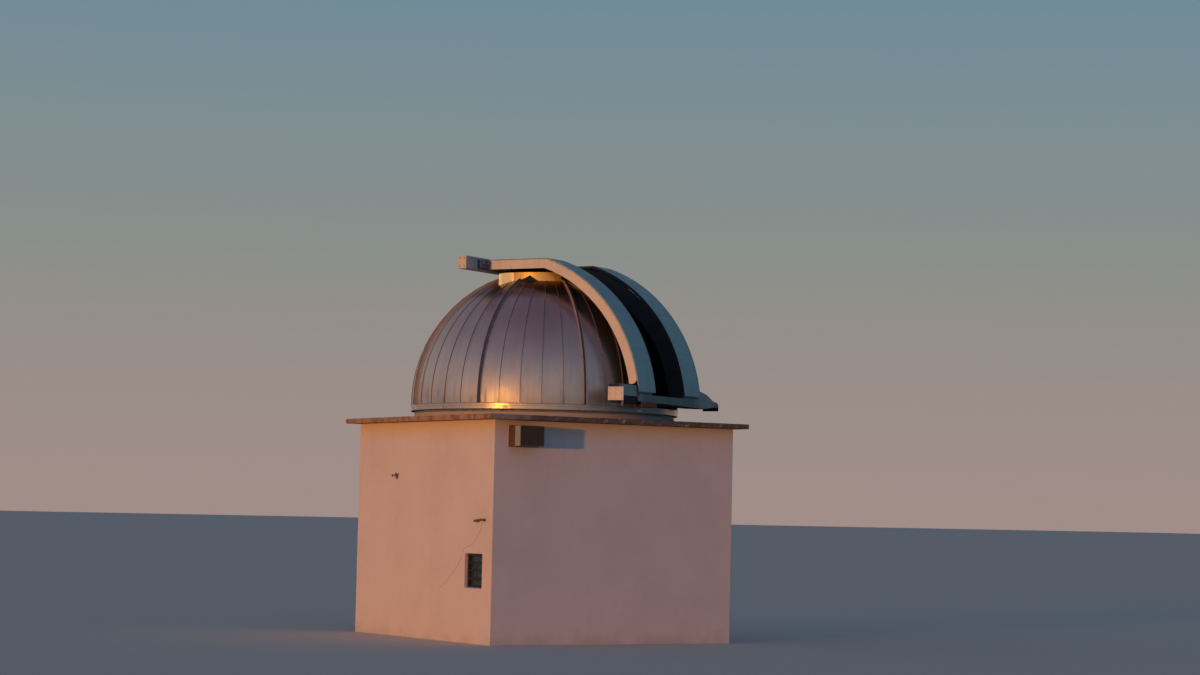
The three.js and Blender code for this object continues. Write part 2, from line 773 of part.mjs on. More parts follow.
// Shutters: outer skin, outer side wall and the carriage beside the top rail
for (const [sideName, side] of [
  ["left", -1],
  ["right", 1],
]) {
  const span = (a, b) => (side < 0 ? [-b, -a] : [a, b]);
  const cover = shutterPlate(0, SKIN, SKIN_BOTTOM, ...span(SHUTTER_INNER_EDGE, SHUTTER_OUTER_EDGE));
  const lip = shutterPlate(
    SKIN - 5,
    SKIN + 40,
    SIDE_BOTTOM,
    ...span(SHUTTER_INNER_EDGE, SHUTTER_INNER_EDGE + SKIN),
  );
  const wallSpan = span(SHUTTER_OUTER_EDGE - SKIN, SHUTTER_OUTER_EDGE);
  const wall = cut(
    shutterPlate(SKIN + GAP, SHUTTER_DEPTH, SIDE_BOTTOM, ...wallSpan),
    prismX(sideCorner(), wallSpan[0] - 5, wallSpan[1] + 5),
  );
  add(dome, "shutter_skin_" + sideName, join(cover, lip), "shutter");
  add(dome, "shutter_side_" + sideName, wall, "shutter");
  const [c0, c1] = span(SHUTTER_OUTER_EDGE + GAP, SHUTTER_OUTER_EDGE + 330);
  add(dome, "shutter_carriage_" + sideName, block(c0, c1, 640, TOP_RAIL.front - 0.4, 8030, 8215), "darkSteel");
}

export default root;
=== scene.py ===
"""Looks for the observatory dome building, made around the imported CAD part.

Metres, +Z up, the same frame as the part. The dome's own axes are turned about Z: x runs along the rails and -y looks
out of the slit. Azimuths run from there, and side is -1 on the left of the slit and 1 on its right.
"""
import json
import math
import random
from math import cos, pi, radians, sin

import bmesh
import bpy
from mathutils import Matrix, Vector, noise

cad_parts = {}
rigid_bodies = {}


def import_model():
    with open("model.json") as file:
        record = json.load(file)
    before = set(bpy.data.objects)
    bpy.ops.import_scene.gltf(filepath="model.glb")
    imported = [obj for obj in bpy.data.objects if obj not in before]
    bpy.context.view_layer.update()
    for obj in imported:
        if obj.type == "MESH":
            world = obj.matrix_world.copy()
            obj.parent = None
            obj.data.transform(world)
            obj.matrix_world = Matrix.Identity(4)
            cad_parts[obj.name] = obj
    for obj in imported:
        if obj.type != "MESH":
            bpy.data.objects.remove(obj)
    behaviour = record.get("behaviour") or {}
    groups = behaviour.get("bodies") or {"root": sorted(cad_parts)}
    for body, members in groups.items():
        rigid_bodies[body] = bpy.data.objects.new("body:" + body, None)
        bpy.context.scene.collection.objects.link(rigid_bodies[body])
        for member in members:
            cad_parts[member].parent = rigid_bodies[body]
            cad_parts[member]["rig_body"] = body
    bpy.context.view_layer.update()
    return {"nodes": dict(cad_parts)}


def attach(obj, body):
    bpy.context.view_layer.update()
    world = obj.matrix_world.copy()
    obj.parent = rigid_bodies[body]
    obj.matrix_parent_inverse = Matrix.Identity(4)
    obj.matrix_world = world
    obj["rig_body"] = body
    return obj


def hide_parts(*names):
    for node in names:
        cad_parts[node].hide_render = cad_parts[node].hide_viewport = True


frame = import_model()
cad = frame["nodes"]
link = bpy.context.scene.collection.objects.link

# Main sizes, the same as the part's
WALL_HALF = 3.0
INNER_HALF = 2.8
WALL_TOP = 4.65
ROOF_HALF = 3.25
ROOF_TOP = 4.76
WINDOW = {"y0": -2.605, "y1": -1.88, "z0": 1.15, "z1": 1.87}
UNIT = {"x0": -2.665, "x1": -2.065, "z0": 4.095, "z1": 4.54}
DOOR = {"x0": 0.5, "x1": 1.4, "z0": 0.4, "z1": 2.5}
HATCH = {"x0": 0.9, "x1": 1.8, "y0": 0.7, "y1": 1.6}
KERB = {"inner": 2.65, "outer": 2.87, "top": 4.87}
TRACK = {"inner": 2.8, "outer": 2.85, "top": 5.0096}
DOME_TURN = radians(27.5)
DOME_RADIUS = 2.936
SHELL_THICK = 0.03
DOME_CENTRE_Z = 5.118
RING = {"outer": 2.946, "inner": 2.78, "bottom": 5.01, "top": 5.05, "skirt": 4.91}
RIB_ANGLES = (42, 87, 132, 180)
SLIT_SPACE = 0.8803
SLIT_BACK = 0.6403
CROWN = {"radius": 1.2503, "back": 0.5373, "top": 7.9605}
CROWN_BLOCK = {"from": 1.15, "to": 1.3803, "front": 0.12, "back": 0.4003}
GIRDER_CENTRE_Z = 5.095
SHUTTER_ARC = {"y": 0.266, "z": 4.958, "radius": 3.454}
SHUTTER_TOP = 8.247
SHUTTER_BACK = 0.728
SHUTTER_BOTTOM = 5.345
SHUTTER_INNER = 0.645
SHUTTER_OUTER = 1.38
TOP_RAIL = {"front": 0.747, "back": 0.957, "half": 2.17, "bottom": 7.99, "top": 8.27}
AXLE_Z = 8.165
HOOD = {"front": -3.105, "back": -2.85, "half": 2.118, "bottom": 5.241, "top": 5.475}
HOOD_END_PLATE = -2.133
DRIVE_FRONT = -3.178

SIDES = (("left", -1), ("right", 1))
LATHE_STEPS = 144
JOIN_DISTANCE = 2e-5
FLAT_ANGLE = radians(0.8)
ROUNDED_ANGLE = radians(30)


# Shapes


def polar(azimuth, radius, z):
    """A point round the dome's axis."""
    return Vector((radius * sin(azimuth), -radius * cos(azimuth), z))


def dome_point(azimuth_deg, elevation, offset, radius):
    """A point over the dome, pushed sideways by offset, and the direction that faces out there."""
    azimuth = radians(azimuth_deg)
    ray = polar(azimuth, cos(elevation), sin(elevation))
    across = Vector((cos(azimuth), sin(azimuth), 0))
    return Vector((0, 0, DOME_CENTRE_Z)) + across * offset + ray * radius, ray


def shutter_point(depth, at):
    """A point (y, z) on the shutters' outline, this far under it: at runs 0 to 1 up the arc, 1 to 2 along the top."""
    radius = SHUTTER_ARC["radius"] - depth
    top = SHUTTER_TOP - depth
    start = math.asin((SHUTTER_BOTTOM - SHUTTER_ARC["z"]) / SHUTTER_ARC["radius"])
    bend = math.asin((top - SHUTTER_ARC["z"]) / radius)
    e = start + (bend - start) * min(at, 1.0)
    y = SHUTTER_ARC["y"] - radius * cos(e)
    if at <= 1:
        return y, SHUTTER_ARC["z"] + radius * sin(e)
    return y + (SHUTTER_BACK - y) * (at - 1), top


def mirrored(side, a, b):
    """The stretch from a to b along the rails, on one side of the slit."""
    return sorted((side * a, side * b))


class Shape:
    """Collects closed solids for one piece. Those of the dome and the shutters are given in the dome's own axes."""

    def __init__(self, body="building"):
        self.body = body
        self.points = []
        self.faces = []

    def sweep(self, sections, closed=False):
        """A solid through several sections, each a closed outline with the same number of points."""
        base, count, total = len(self.points), len(sections[0]), len(sections)
        self.points += [Vector(p) for section in sections for p in section]
        for i in range(total if closed else total - 1):
            a, b = base + i * count, base + (i + 1) % total * count
            for j in range(count):
                k = (j + 1) % count
                self.faces.append([a + j, a + k, b + k, b + j])
        if not closed:
            end = base + total * count
            self.faces += [list(range(base, base + count)), list(range(end - 1, end - 1 - count, -1))]

    def box(self, low, high, chamfer=0.0):
        (x0, y0, z0), (x1, y1, z1) = low, high
        if not chamfer:
            outline = [(x0, y0), (x1, y0), (x1, y1), (x0, y1)]
            self.sweep([[(x, y, z) for x, y in outline] for z in (z0, z1)])
            return
        c, sections = chamfer, []
        for z, d in ((z0, c * 0.98), (z0 + c, 0), (z1 - c, 0), (z1, c * 0.98)):
            corners = [(x0 + c, y0 + d), (x1 - c, y0 + d), (x1 - d, y0 + c), (x1 - d, y1 - c)]
            corners += [(x1 - c, y1 - d), (x0 + c, y1 - d), (x0 + d, y1 - c), (x0 + d, y0 + c)]
            sections.append([(x, y, z) for x, y in corners])
        self.sweep(sections)

    def boxes(self, chamfer, *corners):
        for low, high in corners:
            self.box(low, high, chamfer)

    def spun(self, start, normal, profile, sides):
        """A solid round a line. The profile's points are (radius, distance along the line)."""
        start, normal = Vector(start), Vector(normal).normalized()
        across = normal.orthogonal().normalized()
        along = normal.cross(across)
        turns = [2 * pi * i / sides for i in range(sides)]
        rings = []
        for radius, level in profile:
            middle = start + normal * level
            rings.append([middle + (across * cos(a) + along * sin(a)) * radius for a in turns])
        self.sweep(rings)

    def stud(self, centre, normal, radius, height, sides=8):
        """A low round rivet head."""
        profile = ((1.0, -0.3), (1.0, 0.25), (0.62, 0.85), (0.2, 1.0))
        self.spun(centre, normal, [(radius * share, height * level) for share, level in profile], sides)

    def bolt(self, centre, normal, radius, height):
        """A washer with a six-sided head on it."""
        washer = height * 0.25
        self.spun(centre, normal, [(radius * 1.5, -washer), (radius * 1.5, washer)], 16)
        head = [(radius, washer * 0.5), (radius, height * 0.85), (radius * 0.82, height)]
        self.spun(centre, normal, head, 6)

    def rod(self, start, end, radius, sides=12):
        line = Vector(end) - Vector(start)
        length, small, bevel = line.length, radius * 0.85, radius * 0.15
        self.spun(start, line, [(small, 0), (radius, bevel), (radius, length - bevel), (small, length)], sides)

    def lathe(self, section):
        """A full ring about Z. The section is a closed outline of (radius, z) points."""
        turns = [2 * pi * i / LATHE_STEPS for i in range(LATHE_STEPS)]
        self.sweep([[polar(a, r, z) for r, z in section] for a in turns], closed=True)

    def arc_plate(self, azimuths, r0, r1, z0, z1):
        """An upright plate bent about Z through these azimuths."""
        self.sweep([[polar(a, r0, z0), polar(a, r1, z0), polar(a, r1, z1), polar(a, r0, z1)] for a in azimuths])

    def bar(self, side, x0, x1, pairs):
        """A bar between x0 and x1 on one side. Each pair has a (y, z) point on its one face and one on its other."""
        x0, x1 = mirrored(side, x0, x1)
        self.sweep([[(x0, *a), (x1, *a), (x1, *b), (x0, *b)] for a, b in pairs])

    def shutter_bar(self, side, x0, x1, outer, inner, start, end):
        """A bar along the shutters' outline, between two depths under it."""
        stops = [i / 36 for i in range(37)] + [1.25, 1.5, 1.75]
        stops = [start] + [t for t in stops if start + 0.002 < t < end - 0.002] + [end]
        self.bar(side, x0, x1, [(shutter_point(outer, t), shutter_point(inner, t)) for t in stops])

    def meridian_bar(self, azimuth_deg, start_deg, end_deg, offset, width, r0, r1):
        """A strip up the dome at one azimuth, pushed sideways by offset."""
        steps = max(2, round((end_deg - start_deg) / 2.5))
        low, high = offset - width / 2, offset + width / 2
        corners = ((low, r0), (high, r0), (high, r1), (low, r1))
        elevations = [radians(start_deg + (end_deg - start_deg) * i / steps) for i in range(steps + 1)]
        self.sweep([[dome_point(azimuth_deg, e, shift, r)[0] for shift, r in corners] for e in elevations])

    def build(self):
        mesh = bmesh.new()
        points = [mesh.verts.new(p) for p in self.points]
        for face in self.faces:
            mesh.faces.new([points[i] for i in face])
        bmesh.ops.recalc_face_normals(mesh, faces=mesh.faces)
        if self.body != "building":
            turn_with_dome(mesh)
        return mesh

    def piece(self, name, material, sharp_deg=35, replaces=()):
        place(name, self.build(), self.body, material, sharp_deg, replaces)


def turn_with_dome(mesh):
    bmesh.ops.rotate(mesh, verts=mesh.verts, cent=(0, 0, 0), matrix=Matrix.Rotation(DOME_TURN, 3, "Z"))


def linked_object(name, mesh):
    """Uses up a bmesh for a new object in the scene."""
    data = bpy.data.meshes.new(name)
    mesh.to_mesh(data)
    mesh.free()
    made = bpy.data.objects.new(name, data)
    link(made)
    return made


def place(name, mesh, body, material, sharp_deg=35, replaces=()):
    """Makes the finished object of a bmesh, with its material and body."""
    piece = linked_object(name, mesh)
    data = piece.data
    marked = [edge.index for edge in data.edges if edge.use_edge_sharp]
    data.shade_smooth()
    data.set_sharp_from_angle(angle=radians(sharp_deg))
    for index in marked:
        data.edges[index].use_edge_sharp = True
    slot, look = MATERIALS[material]
    data.materials.append(look)
    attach(piece, body)
    if replaces:
        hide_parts(*replaces)
    return piece


def join_flat_faces(mesh):
    bmesh.ops.remove_doubles(mesh, verts=mesh.verts, dist=JOIN_DISTANCE)
    bmesh.ops.dissolve_limit(mesh, angle_limit=FLAT_ANGLE, verts=mesh.verts, edges=mesh.edges)


def round_edges(mesh, width, segments):
    sharp = [e for e in mesh.edges if len(e.link_faces) == 2 and e.calc_face_angle(0) > ROUNDED_ANGLE]
    bmesh.ops.bevel(
        mesh, geom=sharp, offset=width, offset_type="OFFSET", segments=segments, profile=0.5, affect="EDGES",
        clamp_overlap=True,
    )


def place_worn(name, mesh, body, material, width, segments, replaces):
    """Places a bmesh with rounded edges and even shading of its flat faces."""
    round_edges(mesh, width, segments)
    piece = place(name, mesh, body, material, replaces=replaces)
    piece.modifiers.new("face_weights", "WEIGHTED_NORMAL").keep_sharp = True


def rounded(node, material, width, segments=2):
    """Stands for a CAD node: the same solid with worn edges."""
    mesh = bmesh.new()
    mesh.from_mesh(cad[node].data)
    join_flat_faces(mesh)
    place_worn(node + "_finished", mesh, cad[node]["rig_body"], material, width, segments, (node,))


def rounded_pair(node, material, width):
    for side_name, _ in SIDES:
        rounded(f"{node}_{side_name}", material, width)


def cut_boxes(mesh, boxes):
    """Cuts square holes through a bmesh and returns the new one."""
    tool = Shape()
    tool.boxes(0, *boxes)
    target, cutter = linked_object("cut_body", mesh), linked_object("cut_tool", tool.build())
    step = target.modifiers.new("cut", "BOOLEAN")
    step.operation = "DIFFERENCE"
    step.solver = "EXACT"
    step.object = cutter
    shown = target.evaluated_get(bpy.context.evaluated_depsgraph_get())
    result = bmesh.new()
    result.from_mesh(shown.to_mesh())
    shown.to_mesh_clear()
    bpy.data.objects.remove(target)
    bpy.data.objects.remove(cutter)
    join_flat_faces(result)
    return result


# Node trees


def operator(name):
    return lambda a, b=0.0: a.nodes.math(name, a, b)


class Signal:
    """A shader value. Sums and comparisons take it like a number."""

    __add__ = operator("ADD")
    __sub__ = operator("SUBTRACT")
    __mul__ = operator("MULTIPLY")
    __truediv__ = operator("DIVIDE")
    __lt__ = operator("LESS_THAN")
    __gt__ = operator("GREATER_THAN")
    __abs__ = operator("ABSOLUTE")

    def __init__(self, nodes, socket):
        self.nodes = nodes
        self.socket = socket

    def __rsub__(self, other):
        return self.nodes.math("SUBTRACT", other, self)


class Nodes:
    """Adds nodes to a tree. Their inputs take numbers, colours and signals."""

    def __init__(self, tree, coordinates):
        self.tree = tree
        self.point = self.add("TexCoord", coordinates)
        self.x, self.y, self.z = (self.add("SeparateXYZ", axis, {0: self.point}) for axis in range(3))

    def add(self, kind, output=0, inputs=(), **settings):
        """Makes a node and gives one of its outputs."""
        node = self.tree.nodes.new("ShaderNode" + kind)
        for key, value in settings.items():
            setattr(node, key, value)
        for key, value in dict(inputs).items():
            self.put(value, node.inputs[key])
        return Signal(self, node.outputs[output])

    def put(self, value, target):
        if isinstance(value, Signal):
            self.tree.links.new(value.socket, target)
        elif target.type == "RGBA":
            target.default_value = (*value, 1)
        else:
            target.default_value = value

    def math(self, operation, a, b=0.0):
        return self.add("Math", 0, {0: a, 1: b}, operation=operation)

    def dot(self, direction):
        return self.add("VectorMath", "Value", {0: self.point, 1: direction}, operation="DOT_PRODUCT")

    def joined(self, x, y, z):
        return self.add("CombineXYZ", 0, {0: x, 1: y, 2: z})

    def length(self, x, y, z):
        return self.add("VectorMath", "Value", {0: self.joined(x, y, z)}, operation="LENGTH")

    def ramp(self, source, low, high, out_low=0.0, out_high=1.0):
        inputs = {"Value": source, "From Min": low, "From Max": high, "To Min": out_low, "To Max": out_high}
        return self.add("MapRange", "Result", inputs, interpolation_type="SMOOTHSTEP")

    def mix(self, share, under, over, blend="MIX"):
        return self.add("Mix", 2, {0: share, 6: under, 7: over}, data_type="RGBA", blend_type=blend)


# Materials


def shade(color, share):
    return tuple(c * share for c in color)


class Finish(Nodes):
    """A material built from noise in the object's own coordinates."""

    def __init__(self, name, color, roughness, metallic=0.0, specular=0.5):
        self.material = bpy.data.materials.new(name)
        self.material.use_nodes = True
        super().__init__(self.material.node_tree, "Object")
        self.inputs = self.tree.nodes["Principled BSDF"].inputs
        self.roughness(roughness)
        self.metallic(metallic)
        self.put(specular, self.inputs["Specular IOR Level"])
        self.color = color
        self.normal = {}

    @property
    def along_rails(self):
        """The distance from the slit's middle plane, negative on the left."""
        return self.x * cos(DOME_TURN) + self.y * sin(DOME_TURN)

    @property
    def across_dome(self):
        return abs(self.along_rails)

    @property
    def towards_slit(self):
        return self.x * sin(DOME_TURN) - self.y * cos(DOME_TURN)

    def noise(self, scale, detail=4.0, roughness=0.55, distortion=0.0, point=None):
        """Noise over the object. A scale may be one number or a number for each axis."""
        if isinstance(scale, tuple):
            point = self.add("VectorMath", 0, {0: self.point, 1: scale}, operation="MULTIPLY")
            scale = 1.0
        inputs = {"Scale": scale, "Detail": detail, "Roughness": roughness, "Distortion": distortion}
        return self.add("TexNoise", "Fac", {"Vector": point or self.point, **inputs})

    def tint(self, share, color):
        """Lays another colour over the finish where share is high."""
        self.color = self.mix(share, self.color, color)

    def patches(self, color, share, low, high, *noise_values, **more):
        """Lays another colour over the finish where a noise rises from low to high."""
        self.tint(self.ramp(self.noise(*noise_values, **more), low, high, 0, share), color)

    def bump(self, strength, distance, *noise_values):
        """Raises the finish by a noise."""
        source = self.noise(*noise_values)
        inputs = {"Strength": strength, "Distance": distance, "Height": source, **self.normal}
        self.normal = {"Normal": self.add("Bump", "Normal", inputs)}

    def roughness(self, source):
        self.put(source, self.inputs["Roughness"])

    def metallic(self, source):
        self.put(source, self.inputs["Metallic"])

    def done(self):
        for key, value in {"Base Color": self.color, **self.normal}.items():
            self.put(value, self.inputs[key])
        return self.material


def plaster(name, color, dirt_low, dirt_high):
    """Painted render: mottling, rain marks from the top, a stain under the slab and splashes at the foot."""
    f = Finish(name, color, 0.9, specular=0.25)
    f.patches(shade(color, 0.8), 0.32, 0.35, 0.75, 0.7, 3)
    f.patches(shade(color, 0.86), 0.22, 0.5, 0.75, 5.5, 5)
    f.patches(shade(color, 1.08), 0.35, 0.54, 0.78, 3.1, 6)
    marks = f.ramp(f.noise((5.5, 5.5, 0.22), 5, 0.6), 0.52, 0.72, 0, 0.16)
    f.tint(marks * f.ramp(f.z, dirt_high - 1.6, dirt_high), (0.3, 0.25, 0.22))
    under_slab = f.z + f.noise(2.1, 3) * 0.25
    f.tint(f.ramp(under_slab, dirt_high - 0.35, dirt_high + 0.12, 0, 0.6), (0.58, 0.36, 0.13))
    f.patches((0.36, 0.3, 0.27), 0.06, 0.5, 0.75, (1.6, 1.6, 0.12), 3, 0.5)
    foot = f.z + f.noise(2.5, 4) * 0.9
    f.tint(f.ramp(foot, dirt_low + 0.75, dirt_low + 0.2, 0, 0.42), (0.27, 0.24, 0.21))
    f.bump(0.28, 0.006, 9, 3)
    f.bump(0.5, 0.0022, 75, 4)
    return f.done()


def slab_weathering_and_painted_sun():
    """Rough concrete, paler towards its left end, with dark, pale and mossy patches, and painted sunlight on its left
    face.
    """
    f = Finish("slab_weathering_and_painted_sun", (0.115, 0.081, 0.068), 0.95, specular=0.2)
    f.tint(f.ramp(f.x, -1.6, -2.9, 0, 0.8), (0.3, 0.22, 0.19))
    # Painted sunlight: the left face, turned to the low sun, is lighter and redder
    f.tint(f.x < 0.03 - ROOF_HALF, (0.34, 0.185, 0.125))
    f.patches((0.06, 0.044, 0.038), 0.6, 0.42, 0.66, 3.2, 6, 0.65)
    f.patches((0.42, 0.35, 0.3), 0.9, 0.55, 0.66, 7.5, 6, 0.7, 0.4)
    f.patches((0.2, 0.21, 0.15), 0.55, 0.58, 0.68, 17, 4, 0.6)
    f.bump(0.5, 0.012, 11, 5, 0.6)
    f.bump(0.6, 0.003, 70, 4, 0.6)
    return f.done()


def floor_concrete():
    f = Finish("floor_concrete", (0.26, 0.25, 0.235), 0.92, specular=0.25)
    f.patches((0.17, 0.16, 0.15), 0.5, 0.4, 0.7, 1.4, 5)
    f.bump(0.4, 0.003, 30, 4)
    return f.done()


def weathered_sheet(name, color, smear, stained=0.38, gore_tones=False):
    """Bare sheet with runs and stains, of a roughness that smears between two values."""
    f = Finish(name, color, 0.36, metallic=0.96)
    azimuth = f.math("ARCTAN2", f.x, f.y * -1)
    level = f.z - DOME_CENTRE_Z
    if gore_tones:
        gore = f.math("FLOOR", (azimuth - DOME_TURN - radians(6)) / radians(9))
        f.tint(f.add("TexWhiteNoise", "Value", {"W": gore}, noise_dimensions="1D") * 0.24, shade(color, 0.68))
    f.patches(shade(color, 0.6), 0.32, 0.47, 0.75, 1.0, 5, 0.6, point=f.joined(azimuth * 26, level * 0.5, 0.0))
    f.patches(shade(color, 0.66), 0.22, 0.45, 0.8, 1.3, 3)
    stain = f.ramp(f.noise((7, 7, 1.3), 6, 0.62), 0.5, 0.7) * f.ramp(level, 0.95, -0.1)
    f.tint(stain * stained, (0.3, 0.22, 0.19))
    gloss = f.ramp(f.noise(2.2, 3), 0.3, 0.75, *smear) + stain * (0.3 * stained)
    f.roughness(gloss + f.noise(38, 3) * 0.05)
    f.bump(0.14, 0.03, (2.2, 2.2, 0.8), 2, 0.5)
    f.bump(0.05, 0.001, 55, 3)
    return f


def dome_sheet():
    """The gores' sheet, each with its own tone, with painted shade and dark reflection near the top and beside the
    shutters, and near-black inside as black paint with painted shade.
    """
    f = weathered_sheet("dome_sheet", (0.92, 0.64, 0.52), (0.26, 0.36), gore_tones=True)
    level = f.z - DOME_CENTRE_Z
    # Painted shade and dark reflection: darker near the top of the dome and beside the shutters, where the sheet
    # mirrors dark undersides
    crown_painted_shade = f.ramp(f.length(f.x, f.y, 0.0), 1.98, 1.72, 0, 0.72) * f.ramp(f.towards_slit, -1.7, -0.5, 0.4, 1)
    in_front = f.ramp(f.towards_slit, -0.4, 0.6) * f.ramp(level, 0.1, 0.35)
    painted_shade_by_shutters = f.ramp(f.across_dome, 1.72, 1.56, 0, 0.45) * in_front
    f.tint(f.math("MAXIMUM", crown_painted_shade, painted_shade_by_shutters), (0.1, 0.06, 0.045))
    # Near-black inner face: black paint that also paints the shade inside the dome
    inside = f.length(f.x, f.y, level) < DOME_RADIUS - 0.5 * SHELL_THICK - 0.012
    f.tint(inside, (0.022, 0.022, 0.026))
    f.metallic((1.0 - inside) * 0.96)
    return f.done()


def ring_sheet():
    """Cleaner sheet of the ring and skirt, with painted shade towards the slit, under the hood and the shutters."""
    f = weathered_sheet("ring_sheet", (0.86, 0.61, 0.47), (0.13, 0.2), 0.12)
    # Painted shade: darker blue-grey towards the slit, under the hood and the shutters
    f.tint(f.ramp(f.towards_slit, 2.25, 2.85, 0, 0.62), (0.16, 0.19, 0.2))
    return f.done()


def cap_sheet():
    """Warm-toned sheet of the round cap; its rear block is painted."""
    f = weathered_sheet("cap_sheet", (0.98, 0.55, 0.14), (0.22, 0.3), 0.15)
    block = (f.towards_slit < -0.1) * (f.across_dome > 1.17)
    f.tint(block, (1.0, 0.86, 0.5))
    f.metallic((1.0 - block) * 0.66)
    return f.done()


def painted(name, color, worn, rust, roughness=0.45, zones=()):
    """Old paint on sheet steel: chalky patches, runs of dirt and a little rust, with other colours in zones, among
    them painted light and shade.
    """
    f = Finish(name, color, roughness, specular=0.45)
    f.patches(shade(color, 0.8), 0.4, 0.42, 0.72, 1.8, 5)
    f.patches(shade(color, 0.62), 0.3, 0.5, 0.75, (9, 9, 0.7), 5, 0.6)
    f.patches((0.33, 0.31, 0.29), worn, 0.63, 0.72, 13, 6, 0.7)
    f.patches((0.2, 0.085, 0.04), rust, 0.66, 0.74, 6.5, 7, 0.72)
    f.roughness(f.ramp(f.noise(4, 5), 0.3, 0.8, roughness - 0.08, roughness + 0.2))
    f.bump(0.12, 0.02, 1.1, 2)
    f.bump(0.14, 0.0008, 120, 3)
    for mask, zone_color in zones:
        f.tint(mask(f), zone_color)
    return f.done()


def under_skin(f):
    """The inner face of the shutters' skin."""
    radius = f.length(f.towards_slit + SHUTTER_ARC["y"], f.z - SHUTTER_ARC["z"], 0.0)
    on_top = f.towards_slit < -shutter_point(0, 1)[0]
    under_arc = radius < SHUTTER_ARC["radius"] - 0.014
    return on_top * (f.z < SHUTTER_TOP - 0.012) + (1.0 - on_top) * under_arc


def bare_steel(name, color, rust):
    f = Finish(name, color, 0.55, metallic=0.7)
    f.patches((0.16, 0.075, 0.04), rust, 0.45, 0.7, 9, 6, 0.7)
    f.patches(shade(color, 0.5), 0.3, 0.5, 0.7, 30, 4)
    f.roughness(f.ramp(f.noise(12, 5), 0.3, 0.75, 0.4, 0.75))
    f.bump(0.25, 0.0012, 60, 4)
    return f.done()


def old_timber():
    f = Finish("old_timber", (0.115, 0.055, 0.032), 0.75, specular=0.3)
    grain = ((60, 5, 60), 6, 0.65, 0.6)
    f.patches((0.055, 0.026, 0.016), 0.85, 0.35, 0.7, *grain)
    f.patches((0.17, 0.12, 0.09), 0.4, 0.5, 0.75, 6, 4)
    f.bump(0.5, 0.002, *grain)
    return f.done()


def dark_glass():
    f = Finish("dark_glass", (0.01, 0.022, 0.036), 0.07, specular=0.35)
    f.patches((0.03, 0.04, 0.05), 0.35, 0.5, 0.8, 7, 5)
    f.roughness(f.ramp(f.noise(5, 4), 0.4, 0.8, 0.05, 0.3))
    return f.done()


def plain_dark(name, color, roughness):
    f = Finish(name, color, roughness)
    f.patches(tuple(c * 1.7 + 0.006 for c in color), 0.5, 0.4, 0.7, 22, 4)
    f.bump(0.2, 0.001, 80, 3)
    return f.done()


WHITE_PAINT = (0.59, 0.49, 0.42)
# Painted shade: the skins have the sides' white paint, and this blue-grey stands for them in shade under blue sky
SKIN_PAINTED_SKY_SHADE = (0.31, 0.42, 0.37)
# Painted shade: the hood and the sill plates have the end plate's white paint, and this dark grey stands for their
# shade
HOOD_PAINTED_SHADE_GREY = (0.155, 0.195, 0.165)
# Black paint inside the dome, which also paints shade: on the skins' inner edges, the hood and its upstands
INSIDE_BLACK_AND_PAINTED_SHADE = (0.02, 0.021, 0.026)
# Painted shade: the ribs' crests are near-black blue, standing for their shaded sides and cast shadows
RIB_CREST_PAINTED_SHADE = [(lambda f: f.length(f.x, f.y, f.z - DOME_CENTRE_Z) > DOME_RADIUS + 0.044, (0.03, 0.038, 0.055))]
# The skins are black on their inner face; their inner edge face is painted black as shade
SKIN_ZONES = [(under_skin, INSIDE_BLACK_AND_PAINTED_SHADE), (lambda f: f.across_dome < SHUTTER_INNER + 0.006, INSIDE_BLACK_AND_PAINTED_SHADE)]
SIDE_ZONES = [(lambda f: f.across_dome < SHUTTER_OUTER - 0.012, INSIDE_BLACK_AND_PAINTED_SHADE)]
GIRDER_ZONES = [(lambda f: f.across_dome < 0.874, INSIDE_BLACK_AND_PAINTED_SHADE)]
# The hood: lighter, as painted light, at its ends beyond the shutters; painted shade, near-black, between the slit's
# curbs and on its left end face; white paint on its end plate and a darker brown tab under that
HOOD_LIGHT_AND_SHADE_ZONES = [
    (lambda f: f.ramp(f.across_dome, 1.34, 1.4), (0.29, 0.34, 0.29)),
    (lambda f: f.across_dome < 0.697, INSIDE_BLACK_AND_PAINTED_SHADE),
    (lambda f: f.along_rails < -2.11, INSIDE_BLACK_AND_PAINTED_SHADE),
    (lambda f: f.along_rails < -2.121, WHITE_PAINT),
    (lambda f: (f.along_rails < -2.121) * (f.z < 5.127), (0.145, 0.088, 0.078)),
]
# Painted light: the sill plates grow lighter towards their ends, out of the shutters' shade
SILL_PAINTED_LIGHT_ENDS = [(lambda f: f.ramp(f.across_dome, 1.0, 1.5), (0.32, 0.34, 0.26))]
# Painted shade: all faces of the drive bracket but its front plate are near-black
DRIVE_SIDES_PAINTED_SHADE = [(lambda f: f.towards_slit < 3.171, (0.02, 0.01, 0.009))]

